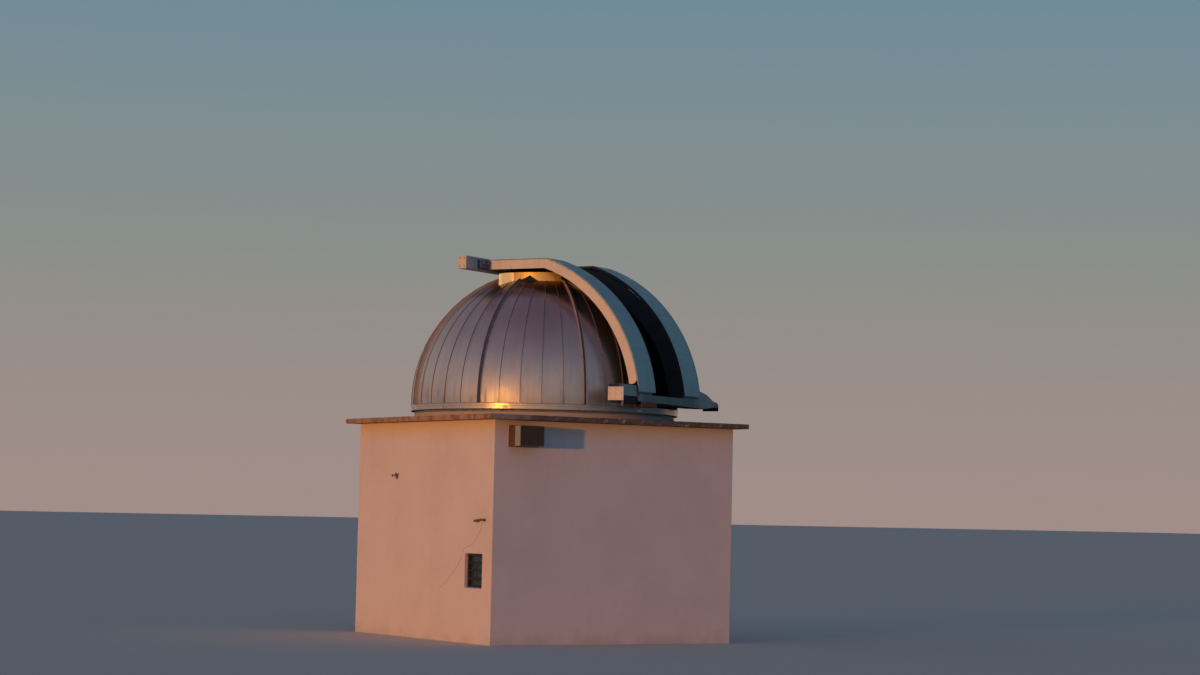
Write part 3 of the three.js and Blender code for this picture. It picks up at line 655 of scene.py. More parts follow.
# The record's slot and the look of each material
MATERIALS = {
    "wall": ("wall", plaster("wall_plaster", (0.58, 0.472, 0.46), 0.0, WALL_TOP)),
    "kerb": ("kerb", plaster("kerb_plaster", (0.36, 0.28, 0.26), 4.1, 5.3)),
    "slab": ("concrete", slab_weathering_and_painted_sun()),
    "floor": ("floor", floor_concrete()),
    "shell": ("aluminium", dome_sheet()),
    "aluminium": ("aluminium", weathered_sheet("bare_aluminium", (0.86, 0.62, 0.51), (0.22, 0.34)).done()),
    "ring": ("aluminium", ring_sheet()),
    "rib": ("aluminium", painted("rib_metal", (0.31, 0.22, 0.19), 0.2, 0.3, 0.5, RIB_CREST_PAINTED_SHADE)),
    "cap": ("aluminium", cap_sheet()),
    "seam": ("aluminium", plain_dark("seam_sealant", (0.065, 0.052, 0.056), 0.6)),
    "track": ("steel", bare_steel("track_steel", (0.32, 0.32, 0.33), 0.5)),
    "bolt": ("steel", bare_steel("bolt_steel", (0.42, 0.41, 0.4), 0.35)),
    "shutter": ("shutter_paint", painted("shutter_paint", WHITE_PAINT, 0.35, 0.25, 0.42)),
    "skin": ("shutter_paint", painted("shutter_skin_paint", SKIN_PAINTED_SKY_SHADE, 0.35, 0.25, 0.42, SKIN_ZONES)),
    "side": ("shutter_paint", painted("shutter_side_paint", WHITE_PAINT, 0.35, 0.25, 0.42, SIDE_ZONES)),
    # Painted shade: the girders' dark brown stands for the shade under the shutters; their inner faces are black
    "girder": ("shutter_paint", painted("girder_painted_shade", (0.15, 0.11, 0.095), 0.1, 0.25, 0.5, GIRDER_ZONES)),
    "inside": ("shutter_paint", painted("inside_black_paint_and_shade", INSIDE_BLACK_AND_PAINTED_SHADE, 0.1, 0.2, 0.6)),
    "rail": ("rail_paint", painted("rail_paint", shade(WHITE_PAINT, 0.95), 0.5, 0.5, 0.5)),
    "hood": ("rail_paint", painted("hood_paint", HOOD_PAINTED_SHADE_GREY, 0.4, 0.5, 0.5, HOOD_LIGHT_AND_SHADE_ZONES)),
    "sill": ("rail_paint", painted("sill_paint", HOOD_PAINTED_SHADE_GREY, 0.4, 0.5, 0.55, SILL_PAINTED_LIGHT_ENDS)),
    "carriage": ("dark_steel", painted("carriage_paint", (0.048, 0.08, 0.125), 0.2, 0.3, 0.6)),
    # Near-black paint, used also as painted shade on the gussets and the rib end lugs
    "dark": ("dark_steel", painted("dark_paint_and_painted_shade", (0.015, 0.017, 0.021), 0.12, 0.3, 0.7)),
    "bracket": ("dark_steel", painted("bracket_paint", (0.15, 0.095, 0.068), 0.2, 0.5, 0.7)),
    "red": ("red_oxide", painted("red_oxide_paint", (0.27, 0.052, 0.022), 0.2, 0.3, 0.6, DRIVE_SIDES_PAINTED_SHADE)),
    "timber": ("timber", old_timber()),
    "casing": ("casing", painted("casing_enamel", (0.26, 0.235, 0.24), 0.3, 0.5, 0.5)),
    "grille": ("grille", painted("grille_enamel", (0.06, 0.045, 0.036), 0.3, 0.5, 0.6)),
    "frame": ("window_frame", painted("window_frame_paint", (0.034, 0.024, 0.022), 0.1, 0.3, 0.6)),
    "glass": ("glass", dark_glass()),
    "door": ("door", painted("door_paint", (0.27, 0.24, 0.2), 0.4, 0.5, 0.5)),
    "crack": ("wall", plain_dark("crack_shadow", (0.27, 0.18, 0.13), 0.95)),
}


# Building: walls, roof slab, kerb and track

walls = Shape()
walls.box((-WALL_HALF, -WALL_HALF, 0), (WALL_HALF, WALL_HALF, WALL_TOP))
room = ((-INNER_HALF, -INNER_HALF, -1), (INNER_HALF, INNER_HALF, 6))
wall_openings = [
    ((-4, WINDOW["y0"], WINDOW["z0"]), (-2, WINDOW["y1"], WINDOW["z1"])),
    ((UNIT["x0"], -4, UNIT["z0"]), (UNIT["x1"], -2, UNIT["z1"])),
    ((DOOR["x0"], 2, DOOR["z0"]), (DOOR["x1"], 4, DOOR["z1"])),
]
wall_nodes = ("front_wall", "left_wall", "right_wall", "back_wall")
wall_mesh = cut_boxes(cut_boxes(walls.build(), [room]), wall_openings)
place_worn("plastered_walls", wall_mesh, "building", "wall", 0.009, 3, wall_nodes)


def slab_mesh():
    """The roof slab with crumbled edges: cut into cells, then pushed in by noise near its rim."""
    shape = Shape()
    shape.box((-ROOF_HALF, -ROOF_HALF, WALL_TOP), (ROOF_HALF, ROOF_HALF, ROOF_TOP))
    mesh = cut_boxes(shape.build(), [((HATCH["x0"], HATCH["y0"], 4), (HATCH["x1"], HATCH["y1"], 5))])
    lines = [ROOF_HALF * i / 32 for i in range(-31, 32)] + [-ROOF_HALF + 0.025, ROOF_HALF - 0.025]
    levels = [WALL_TOP + 0.02, WALL_TOP + 0.055, ROOF_TOP - 0.02]
    for axis, cuts in (((1, 0, 0), lines), ((0, 1, 0), lines), ((0, 0, 1), levels)):
        for at in cuts:
            bmesh.ops.bisect_plane(
                mesh, geom=mesh.verts[:] + mesh.edges[:] + mesh.faces[:], dist=1e-5,
                plane_co=Vector(axis) * at, plane_no=axis,
            )
    for v in mesh.verts:
        rough = max(0.0, 0.5 + 0.5 * noise.noise(v.co * 6.0) + 0.35 * noise.noise(v.co * 19.0))
        at_top, at_bottom = (abs(v.co.z - level) < 1e-4 for level in (ROOF_TOP, WALL_TOP))
        depth = rough * (0.02 if at_top or at_bottom else 0.007)
        for axis in (0, 1):
            if abs(v.co[axis]) > ROOF_HALF - 1e-4:
                v.co[axis] -= math.copysign(depth, v.co[axis])
        if max(abs(v.co.x), abs(v.co.y)) > WALL_HALF + 0.02:
            if at_top:
                v.co.z -= rough * 0.007
            elif at_bottom:
                v.co.z += rough * 0.004
    return mesh


place("weathered_roof_slab", slab_mesh(), "building", "slab", 50, ("roof_slab",))

kerb = Shape()
inner, outer, top = KERB.values()
kerb.lathe(
    [
        (inner, ROOF_TOP), (outer, ROOF_TOP), (outer, top - 0.014), (outer - 0.004, top - 0.005),
        (outer - 0.013, top), (inner + 0.008, top), (inner, top - 0.008),
    ]
)
kerb.piece("plastered_kerb", "kerb", 40, ("dome_kerb",))

track = Shape()
inner, outer, top = TRACK.values()
track.lathe(
    [
        (inner, KERB["top"]), (outer, KERB["top"]), (outer, top - 0.004), (outer - 0.004, top),
        (inner + 0.004, top), (inner, top - 0.004),
    ]
)
track.piece("running_track", "track", 40, ("dome_track",))

cad["floor_slab"].data.materials.clear()
cad["floor_slab"].data.materials.append(MATERIALS["floor"][1])

# Window: frame, four tilting panes with their own small frames, and the opening lever

rounded("window_frame", "frame", 0.003)
near_y, far_y, sill_z, head_z = WINDOW.values()

FRAME_BAR = 0.045
TRANSOM = 0.026
PANE_ROWS = 4
PANE_X = -2.884
row_height = (head_z - sill_z - 2 * FRAME_BAR - (PANE_ROWS - 1) * TRANSOM) / PANE_ROWS
pane_y0, pane_y1 = near_y + FRAME_BAR, far_y - FRAME_BAR
glass = Shape()
edges = Shape()
for row in range(PANE_ROWS):
    z0 = sill_z + FRAME_BAR + row * (row_height + TRANSOM)
    tilt = radians(5 + 2.5 * (row % 2))
    low_x = PANE_X - sin(tilt) * row_height * 0.45
    high_x = PANE_X + 0.004
    # Each leaf of the pane lies between two y values and two shares of the row's height
    for shape, y0, y1, share0, share1, thick in (
        (glass, pane_y0 + 0.012, pane_y1 - 0.012, 0.04, 0.97, 0.004),
        (edges, pane_y0 + 0.003, pane_y0 + 0.016, 0.02, 0.98, 0.008),
        (edges, pane_y1 - 0.016, pane_y1 - 0.003, 0.02, 0.98, 0.008),
        (edges, pane_y0 + 0.016, pane_y1 - 0.016, 0.02, 0.1, 0.008),
    ):
        outline = [
            (low_x + (high_x - low_x) * share + shift, z0 + row_height * share)
            for share, shift in ((share0, 0), (share1, 0), (share1, thick), (share0, thick))
        ]
        shape.sweep([[(x, y, z) for x, z in outline] for y in (y0, y1)])
glass.piece("tilting_window_panes", "glass", 35, ("window_glass",))
edges.piece("window_pane_edges", "frame")

lever = Shape()
lever.box((-2.94, -2.13, 1.3), (-2.925, -2.118, 1.66), 0.002)
lever.box((-2.955, -2.135, 1.3), (-2.925, -2.113, 1.335), 0.003)
lever.piece("window_opening_lever", "frame")

sill = Shape()
sill_outline = ((-2.996, -0.001), (-2.926, -0.001), (-2.926, 0.016), (-2.996, 0.004))
sill_ends = (near_y + 0.002, far_y - 0.002)
sill.sweep([[(x, y, sill_z + rise) for x, rise in sill_outline] for y in sill_ends])
sill.piece("window_sill_slope", "wall")

# Cooling unit: sleeve boards, casing with louvres, grille of slats

rounded("unit_sleeve", "timber", 0.003)
rounded("unit_casing", "casing", 0.007, 3)
rounded("unit_grille", "grille", 0.003)

FACE_Y = -3.457
SLATS = 21
slats = Shape()
left, right, bottom, top = UNIT.values()
unit_x0, unit_x1 = left + 0.018, right - 0.018
unit_z0, unit_z1 = bottom + 0.018, top - 0.018


def on_unit_face(x0, x1, z0, z1, out, chamfer=0.0):
    slats.box((x0, FACE_Y - out, z0), (x1, FACE_Y + 0.002, z1), chamfer)


for i in range(SLATS):
    z = unit_z0 + 0.018 + (unit_z1 - unit_z0 - 0.036) * i / (SLATS - 1)
    on_unit_face(unit_x0 + 0.018, unit_x1 - 0.018, z - 0.0028, z + 0.0028, 0.009)
on_unit_face(unit_x0, unit_x0 + 0.016, unit_z0, unit_z1, 0.011, 0.002)
on_unit_face(unit_x1 - 0.016, unit_x1, unit_z0, unit_z1, 0.011, 0.002)
on_unit_face(unit_x0, unit_x1, unit_z0, unit_z0 + 0.012, 0.011, 0.002)
on_unit_face(unit_x0, unit_x1, unit_z1 - 0.012, unit_z1, 0.011, 0.002)
for share in (0.33, 0.67):
    x = unit_x0 + (unit_x1 - unit_x0) * share
    on_unit_face(x - 0.004, x + 0.004, unit_z0, unit_z1, 0.01)
slats.piece("cooling_unit_slats", "grille")

vents = Shape()
for side_x, out in ((left + 0.0123, -1), (right - 0.0123, 1)):
    for i in range(9):
        z = bottom + 0.1 + 0.026 * i
        outline = [(side_x + out * lift, z + rise) for lift, rise in
                   ((-0.003, 0), (0.006, -0.004), (0.006, 0.001), (-0.003, 0.012))]
        vents.sweep([[(x, y, z) for x, z in outline] for y in (-3.42, -3.28)])
vents.piece("cooling_unit_side_louvres", "casing")

screws = Shape()
for x in (unit_x0 + 0.008, unit_x1 - 0.008):
    for z in (bottom + 0.032, top - 0.032):
        screws.stud((x, FACE_Y - 0.011, z), (0, -1, 0), 0.004, 0.003)
for z in (bottom + 0.006, top - 0.006):
    for x in (left + 0.03, -2.365, right - 0.03):
        screws.stud((x, -3.24, z), (0, -1, 0), 0.004, 0.002)
screws.piece("cooling_unit_screws", "bolt")

trim = Shape()
for x0, x1, z1 in (
    (left - 0.004, right + 0.004, bottom - 0.0005),
    (left - 0.022, left - 0.0005, top + 0.018),
    (right + 0.0005, right + 0.022, top + 0.018),
):
    trim.box((x0, -3.006, bottom - 0.022), (x1, -2.999, z1), 0.002)
trim.piece("cooling_unit_mortar_edge", "wall")

# Two small pipe brackets and a crack on the window wall

fittings = Shape()
fittings.box((-3.012, 1.15, 3.42), (-2.999, 1.25, 3.53), 0.002)
fittings.rod((-3.01, 1.2, 3.475), (-3.085, 1.2, 3.5), 0.011)
fittings.rod((-3.075, 1.1, 3.497), (-3.075, 1.3, 3.497), 0.012)
fittings.rod((-3.075, 1.125, 3.49), (-3.075, 1.125, 3.55), 0.016)
fittings.rod((-3.075, 1.275, 3.46), (-3.075, 1.275, 3.515), 0.016)
fittings.box((-3.01, -2.73, 2.545), (-2.999, -2.32, 2.585), 0.002)
fittings.rod((-3.01, -2.66, 2.565), (-3.075, -2.66, 2.575), 0.012)
fittings.rod((-3.01, -2.4, 2.565), (-3.075, -2.4, 2.555), 0.012)
fittings.box((-3.075, -2.73, 2.55), (-3.045, -2.57, 2.6), 0.003)
fittings.box((-3.07, -2.47, 2.525), (-3.04, -2.33, 2.575), 0.003)
for y in (-2.71, -2.34):
    fittings.bolt((-3.01, y, 2.565), (-1, 0, 0), 0.006, 0.006)
fittings.piece("wall_brackets", "bracket")

CRACK = (
    (-2.59, 2.53), (-2.56, 2.47), (-2.53, 2.4), (-2.48, 2.32), (-2.4, 2.24), (-2.3, 2.13), (-2.16, 2.05),
    (-2.00, 2.02), (-1.84, 1.96), (-1.78, 1.85), (-1.71, 1.74), (-1.59, 1.62), (-1.47, 1.51), (-1.31, 1.39),
    (-1.15, 1.28), (-0.98, 1.19), (-0.82, 1.12),
)
CRACK_OUTLINE = ((-1, -0.001), (1, -0.001), (0.8, 0.0015), (-0.8, 0.0015))
crack = Shape()
sections = []
random.seed(7)
for i, (y, z) in enumerate(CRACK):
    along = (Vector(CRACK[min(len(CRACK) - 1, i + 1)]) - Vector(CRACK[max(0, i - 1)])).normalized()
    across = Vector((-along.y, along.x)) * (0.0045 + 0.002 * random.random())
    sections.append([(-WALL_HALF - lift, y + across.x * share, z + across.y * share) for share, lift in CRACK_OUTLINE])
crack.sweep(sections)
crack.piece("wall_crack", "crack")

# Door on the back wall: ledges, hinges and handle

rounded("door_frame", "frame", 0.004)
rounded("door_leaf", "door", 0.003)
DOOR_Y = WALL_HALF - 0.07
door_left, door_right, door_bottom, _ = DOOR.values()
door_x0, door_x1 = door_left + 0.052, door_right - 0.052
door_trim = Shape()
for z0, z1 in ((door_bottom + 0.06, door_bottom + 0.2), (1.32, 1.44), (2.24, 2.36)):
    door_trim.box((door_x0 + 0.03, DOOR_Y - 0.001, z0), (door_x1 - 0.03, DOOR_Y + 0.014, z1), 0.004)
for x0 in (door_x0 + 0.03, door_x1 - 0.13):
    door_trim.box((x0, DOOR_Y - 0.001, door_bottom + 0.2), (x0 + 0.1, DOOR_Y + 0.014, 2.24), 0.004)
door_trim.piece("door_stiles_and_rails", "door")
door_metal = Shape()
hinge_x, handle_x = door_x0 - 0.004, door_x1 - 0.065
for z in (0.62, 1.4, 2.22):
    door_metal.rod((hinge_x, DOOR_Y + 0.008, z - 0.05), (hinge_x, DOOR_Y + 0.008, z + 0.05), 0.008)
door_metal.box((handle_x - 0.02, DOOR_Y + 0.013, 1.27), (handle_x + 0.02, DOOR_Y + 0.018, 1.49), 0.002)
door_metal.rod((handle_x, DOOR_Y + 0.016, 1.4), (handle_x, DOOR_Y + 0.045, 1.4), 0.009)
door_metal.rod((handle_x, DOOR_Y + 0.04, 1.4), (handle_x - 0.11, DOOR_Y + 0.04, 1.4), 0.008)
door_metal.piece("door_hinges_and_handle", "bolt")


# Dome shell: gores bent up the dome and nearly flat across

SHELL_ROWS = 34
SHELL_BOTTOM = math.asin((RING["top"] - DOME_CENTRE_Z) / DOME_RADIUS)
HIGHEST = radians(82)
LEAST_RISE = radians(2.5)
CORNER_AZIMUTH = 180 - math.degrees(math.atan2(SLIT_SPACE, SLIT_BACK))
BULGE = 0.45
GORE_PARTS = 4


def slit_limit(azimuth, radius):
    """The elevation at which a line up the dome meets the slit's space."""
    along = abs(sin(azimuth)) * radius
    back = -cos(azimuth) * radius
    at_side = math.acos(min(1.0, SLIT_SPACE / along)) if along > SLIT_SPACE else 0.0
    if back <= SLIT_BACK:
        return at_side
    return min(HIGHEST, max(at_side, math.acos(SLIT_BACK / back)))


def crown_limit_deg(azimuth_deg):
    """The elevation at which a line up the dome meets the slit's space or the round cap beside it."""
    azimuth = radians(azimuth_deg)
    for i in range(820):
        e = radians(i * 0.1)
        level = DOME_RADIUS * cos(e)
        across, along = abs(sin(azimuth)) * level, -cos(azimuth) * level
        in_slit = across < SLIT_SPACE and along < SLIT_BACK
        in_crown = level < CROWN["radius"] and along < CROWN["back"]
        beside_block = CROWN_BLOCK["from"] < across < CROWN_BLOCK["to"]
        at_block = beside_block and CROWN_BLOCK["front"] < along < CROWN_BLOCK["back"]
        if in_slit or in_crown or at_block:
            return math.degrees(e)
    return math.degrees(HIGHEST)


def gore_columns(seams):
    """Azimuths of all columns, each with its gore's two seams and whether it is a seam itself."""
    columns = []
    for start, end in zip(seams, seams[1:]):
        for i in range(GORE_PARTS):
            columns.append((start + (end - start) * i / GORE_PARTS, start, end, i == 0))
        if start < CORNER_AZIMUTH < end:
            columns.append((CORNER_AZIMUTH, start, end, False))
    columns.append((seams[-1], seams[-2], seams[-1], True))
    return sorted(columns, key=lambda c: c[0])


def shell_panel(name, seams, side, node):
    """The sheets between these seams, with an outer and an inner face."""
    mesh = bmesh.new()
    grid = {}
    columns = gore_columns(seams)
    for c, (azimuth_deg, start, end, seam) in enumerate(columns):
        azimuth = radians(azimuth_deg)
        chord = cos(radians(end - start) / 2) / cos(azimuth - radians(start + end) / 2)
        spread = 1 - (1 - chord) * (1 - BULGE)
        for layer, radius in enumerate((DOME_RADIUS, DOME_RADIUS - SHELL_THICK)):
            limit = max(slit_limit(azimuth, radius * spread), SHELL_BOTTOM + LEAST_RISE)
            for r in range(SHELL_ROWS + 1):
                e = SHELL_BOTTOM + (limit - SHELL_BOTTOM) * r / SHELL_ROWS
                z = RING["top"] if r == 0 else DOME_CENTRE_Z + radius * sin(e)
                grid[layer, c, r] = mesh.verts.new(polar(side * azimuth, radius * spread * cos(e), z))

    def face(*corners):
        return mesh.faces.new([grid[corner] for corner in corners])

    last = len(columns) - 1
    for c in range(last):
        for r in range(SHELL_ROWS):
            for layer in (0, 1):
                face((layer, c, r), (layer, c + 1, r), (layer, c + 1, r + 1), (layer, c, r + 1))
        for r in (0, SHELL_ROWS):
            face((0, c, r), (0, c + 1, r), (1, c + 1, r), (1, c, r))
    for c in (0, last):
        for r in range(SHELL_ROWS):
            face((0, c, r), (0, c, r + 1), (1, c, r + 1), (1, c, r))
    for c, column in enumerate(columns):
        if column[3]:
            for r in range(SHELL_ROWS):
                mesh.edges.get([grid[0, c, r], grid[0, c, r + 1]]).smooth = False
    bmesh.ops.recalc_face_normals(mesh, faces=mesh.faces)
    turn_with_dome(mesh)
    place(name, mesh, "dome", "shell", 40, (node,))


FIRST_COLUMN = math.degrees(math.asin(SLIT_SPACE / (DOME_RADIUS * cos(radians(1.5)))))
FRONT_SEAMS = [FIRST_COLUMN, 24, 33, 42]
SIDE_SEAMS = [42, 51, 60, 69, 78, 87]
REAR_SEAMS = [87 + 9.3 * i for i in range(11)]
for side_name, side in SIDES:
    for panel, seams in (("front", FRONT_SEAMS), ("side", SIDE_SEAMS), ("rear", REAR_SEAMS)):
        shell_panel(f"gores_{panel}_{side_name}", seams, side, f"dome_panel_{panel}_{side_name}")

seam_strips = Shape("dome")
seam_folds = Shape("dome")
rivets = Shape("dome")


def rivet_line(azimuth_deg, end_deg, offset, spacing, radius):
    """Rivets up the dome from 1 degree, along a seam or a rib."""
    start, rise = radians(1.0), radians(end_deg - 1.0)
    count = int(DOME_RADIUS * rise / spacing)
    for i in range(count):
        point, normal = dome_point(azimuth_deg, start + (i + 0.5) * rise / count, offset, radius)
        rivets.stud(point, normal, 0.006, 0.0035, 6)


for side in (-1, 1):
    for azimuth in FRONT_SEAMS[1:] + SIDE_SEAMS[1:] + REAR_SEAMS[1:]:
        if any(abs(azimuth - rib) < 0.1 for rib in RIB_ANGLES):
            continue
        top = crown_limit_deg(azimuth) - 0.3
        seam_strips.meridian_bar(side * azimuth, -1.2, top, 0, 0.017, DOME_RADIUS - 0.006, DOME_RADIUS + 0.003)
        seam_folds.meridian_bar(side * azimuth, -1.2, top, 0, 0.007, DOME_RADIUS, DOME_RADIUS + 0.017)
        rivet_line(side * azimuth, top - 1.0, side * 0.02, 0.16, DOME_RADIUS - 0.0006)
seam_strips.piece("gore_seam_sealant", "seam")
seam_folds.piece("gore_seam_folds", "aluminium")

# Ribs with riveted feet that stop this many degrees short of the cap

FEET_SHORT = {42: 2.2, 87: 0.4, 132: 1.6, 180: 8.5}
FOOT_FACE = DOME_RADIUS + 0.003
flanges = Shape("dome")
for side_name, side in SIDES:
    for azimuth in RIB_ANGLES:
        if azimuth == 180 and side > 0:
            continue
        rounded("dome_rib_rear" if azimuth == 180 else f"dome_rib_{side_name}_{azimuth}", "rib", 0.004)
        top = crown_limit_deg(azimuth) - FEET_SHORT[azimuth]
        for shift in (-1, 1):
            flanges.meridian_bar(side * azimuth, -1.0, top, shift * 0.04, 0.034, DOME_RADIUS - 0.006, FOOT_FACE)
            rivet_line(side * azimuth, top - 1.0, shift * 0.042, 0.13, FOOT_FACE)
flanges.piece("rib_feet", "aluminium")
rivets.piece("shell_rivets", "aluminium")

# Ring and skirt with joint covers

ring = Shape("dome")
outer, inner, bottom, top, skirt = RING.values()
ring.lathe(
    [
        (inner, bottom), (outer - 0.02, bottom), (outer - 0.02, skirt + 0.004), (outer - 0.014, skirt),
        (outer - 0.003, skirt), (outer, skirt + 0.003), (outer, top - 0.003), (outer - 0.003, top), (inner, top),
    ]
)
ring.piece("ring_and_skirt", "ring", 40, ("dome_ring",))

beads = Shape("dome")
bead_angles = [2 * pi * i / 8 for i in range(8)]
for level, size in ((top - 0.012, 0.007), (skirt + 0.01, 0.007), (top - 0.06, 0.0035)):
    beads.lathe([(outer + size * cos(a) * 0.9, level + size * sin(a)) for a in bead_angles])
beads.piece("skirt_beads", "aluminium", 60)

COVER_FACE = outer + 0.005
covers = Shape("dome")
skirt_bolts = Shape("dome")
for i in range(12):
    middle = radians(15 + 30 * i)
    turns = [middle + (step - 2) * 0.01 for step in range(5)]
    covers.arc_plate(turns, outer - 0.002, COVER_FACE, 4.935, 4.982)
    for shift in (-0.014, -0.005, 0.005, 0.014):
        a = middle + shift
        skirt_bolts.stud(polar(a, COVER_FACE, 4.958), polar(a, 1, 0), 0.006, 0.004)
covers.piece("skirt_joint_covers", "aluminium")
for i in range(72):
    a = radians(2.5 + 5 * i)
    skirt_bolts.stud(polar(a, outer, 5.012), polar(a, 1, 0), 0.0065, 0.004)

# Girders and frame round the slit

rounded_pair("slit_girder", "girder", 0.006)
rounded("slit_back_frame", "girder", 0.005)


def girder_point(radius, e):
    return -radius * cos(e), GIRDER_CENTRE_Z + radius * sin(e)


girder_trim = Shape("dome")
elevations = [radians(8.0 + (89.8 - 8.0) * i / 40) for i in range(41)]
for side in (-1, 1):
    for x0, x1 in ((0.705, 0.73), (0.848, 0.876)):
        pairs = [(girder_point(2.868, e), girder_point(2.875, e)) for e in elevations]
        girder_trim.bar(side, x0, x1, pairs)
girder_trim.piece("girder_edge_strips", "inside", 40)

# Round cap beside the girders at the top: rolled face strips, clamping bolts and lapped top plates

rounded_pair("crown_cap", "cap", 0.005)
CAP_FACE = 1.2495
crown_trim = Shape("dome")
crown_bolts = Shape("dome")


def cap_strip(low, high, side, z0, z1, thick):
    """A strip standing on the round cap's face between two azimuths."""
    steps = max(2, int((high - low) / 3))
    turns = [side * radians(low + (high - low) * i / steps) for i in range(steps + 1)]
    crown_trim.arc_plate(turns, CAP_FACE, CAP_FACE + thick, z0, z1)


for side in (-1, 1):
    cap_strip(46, 94, side, 7.938, 7.956, 0.004)
    for azimuth in (52, 64, 76, 88):
        cap_strip(azimuth - 1.1, azimuth + 1.1, side, 7.8, 7.934, 0.0035)
        a = side * radians(azimuth)
        for z in (7.83, 7.9):
            crown_bolts.stud(polar(a, 1.253, z), polar(a, 1, 0), 0.007, 0.004)
    low, high = mirrored(side, 0.9, 1.1)
    for y0, y1 in ((0.49, 0.53), (-0.02, 0.02)):
        crown_trim.box((low, y0, CROWN["top"]), (high, y1, CROWN["top"] + 0.004), 0.001)
crown_trim.piece("crown_cap_plates", "cap")
crown_bolts.piece("crown_cap_bolts", "bolt")

# The two side ribs end in small pointed lugs against the round cap: azimuths and heights of the lug's top edge

LUG = ((88.5, 7.775), (84, 7.812), (80, 7.85), (76.2, 7.892), (73.5, 7.855), (70.5, 7.805), (68, 7.775))
LUG_BOTTOM = 7.735
lugs = Shape("dome")
for side in (-1, 1):
    sections = []
    for azimuth_deg, top in LUG:
        a = side * radians(azimuth_deg)
        corners = ((1.251, LUG_BOTTOM), (1.263, LUG_BOTTOM), (1.263, top), (1.251, top))
        sections.append([polar(a, radius, z) for radius, z in corners])
    lugs.sweep(sections)
# The lugs are near-black, painted shade at the ribs' ends
lugs.piece("rib_end_lugs", "dark")

# Top rail: guide lips, end plates and web plates

rounded("top_rail", "rail", 0.008, 3)
lips = Shape("dome")
front, back, half, bottom, top = TOP_RAIL.values()
for z0, z1 in ((8.2225, 8.2345), (8.008, 8.022)):
    lips.box((0.01 - half, front - 0.011, z0), (half - 0.01, front + 0.003, z1), 0.001)
for x in (-half - 0.002, half - 0.006):
    lips.box((x, front + 0.01, bottom + 0.012), (x + 0.008, back - 0.01, top - 0.012), 0.002)
for i in range(9):
    x = -2.0 + 0.5 * i
    lips.box((x - 0.004, back - 0.002, bottom + 0.014), (x + 0.004, back + 0.012, top - 0.014), 0.001)
lips.piece("top_rail_lips_and_plates", "rail")

# Bottom rail: hood, beam, sill plates, gussets, drive bracket

rounded("bottom_rail_hood", "hood", 0.006, 3)
rounded("bottom_rail_beam", "dark", 0.005)
rounded_pair("sill_plate", "sill", 0.004)
# The gussets are near-black: painted shade over their lit faces
rounded_pair("rail_gusset", "dark", 0.002)
rounded("drive_bracket", "red", 0.006)

# The rails' bolts: their places along x, y and z, the way they face, radius and height
rail_bolts = Shape("dome")
for xs, ys, zs, facing, radius, height in (
    ((-half - 0.002,), (0.79, 0.915), (8.04, 8.22), (-1, 0, 0), 0.011, 0.01),
    ((half + 0.002,), (0.79, 0.915), (8.04, 8.22), (1, 0, 0), 0.011, 0.01),
    ([-1.27 + 0.2 * i for i in range(17)], (-3.142,), (5.268, 5.152), (0, -1, 0), 0.008, 0.007),
    ((HOOD_END_PLATE,), (-3.17, -3.03, -2.89), (5.165, 5.27, 5.37), (-1, 0, 0), 0.009, 0.008),
    ((HOOD["half"] + 0.03,), (-3.13, -3.0, -2.88), (5.11, 5.22), (1, 0, 0), 0.01, 0.009),
    ((-1.27, -0.635), (DRIVE_FRONT,), (5.046, 5.124), (0, -1, 0), 0.008, 0.006),
):
    for centre in [(x, y, z) for x in xs for y in ys for z in zs]:
        rail_bolts.bolt(centre, facing, radius, height)
rail_bolts.piece("rail_bolts", "bolt")

hood_trim = Shape("dome")
front, back, half, bottom, top = HOOD.values()
hood_trim.box((-half, front - 0.002, bottom + 0.002), (half, front + 0.004, bottom + 0.016), 0.001)
for x in (-1.45, -0.76, 0.76, 1.45):
    hood_trim.box((x - 0.025, front - 0.0025, bottom + 0.021), (x + 0.025, front + 0.003, top - 0.012), 0.001)
    hood_trim.box((x - 0.025, front + 0.002, top - 0.006), (x + 0.025, back - 0.003, top + 0.002), 0.001)
hood_trim.piece("hood_lap_strips", "sill")
# Near-black upstands behind the hood: painted shade closing the gap under the shutters
upstands = Shape("dome")
for side in (-1, 1):
    low, high = mirrored(side, 0.885, 1.37)
    upstands.box((low, back - 0.022, top - 0.005), (high, back - 0.012, 5.585), 0.002)
    upstands.box((low, back - 0.04, 5.579), (high, back - 0.012, 5.587), 0.001)
upstands.piece("hood_upstands", "inside")

drive = Shape("dome")
drive.box((-1.235, DRIVE_FRONT - 0.006, 5.05), (-0.67, DRIVE_FRONT + 0.002, 5.12), 0.003)
for x in (-1.14, -1.04, -0.94, -0.84, -0.74):
    drive.box((x - 0.006, DRIVE_FRONT - 0.009, 5.056), (x + 0.006, DRIVE_FRONT - 0.004, 5.114), 0.001)
drive.piece("drive_cover_plate", "red")

skirt_bolts.piece("skirt_bolts", "bolt")

# Shutters: skins, sides, stiffeners, rivets and carriages

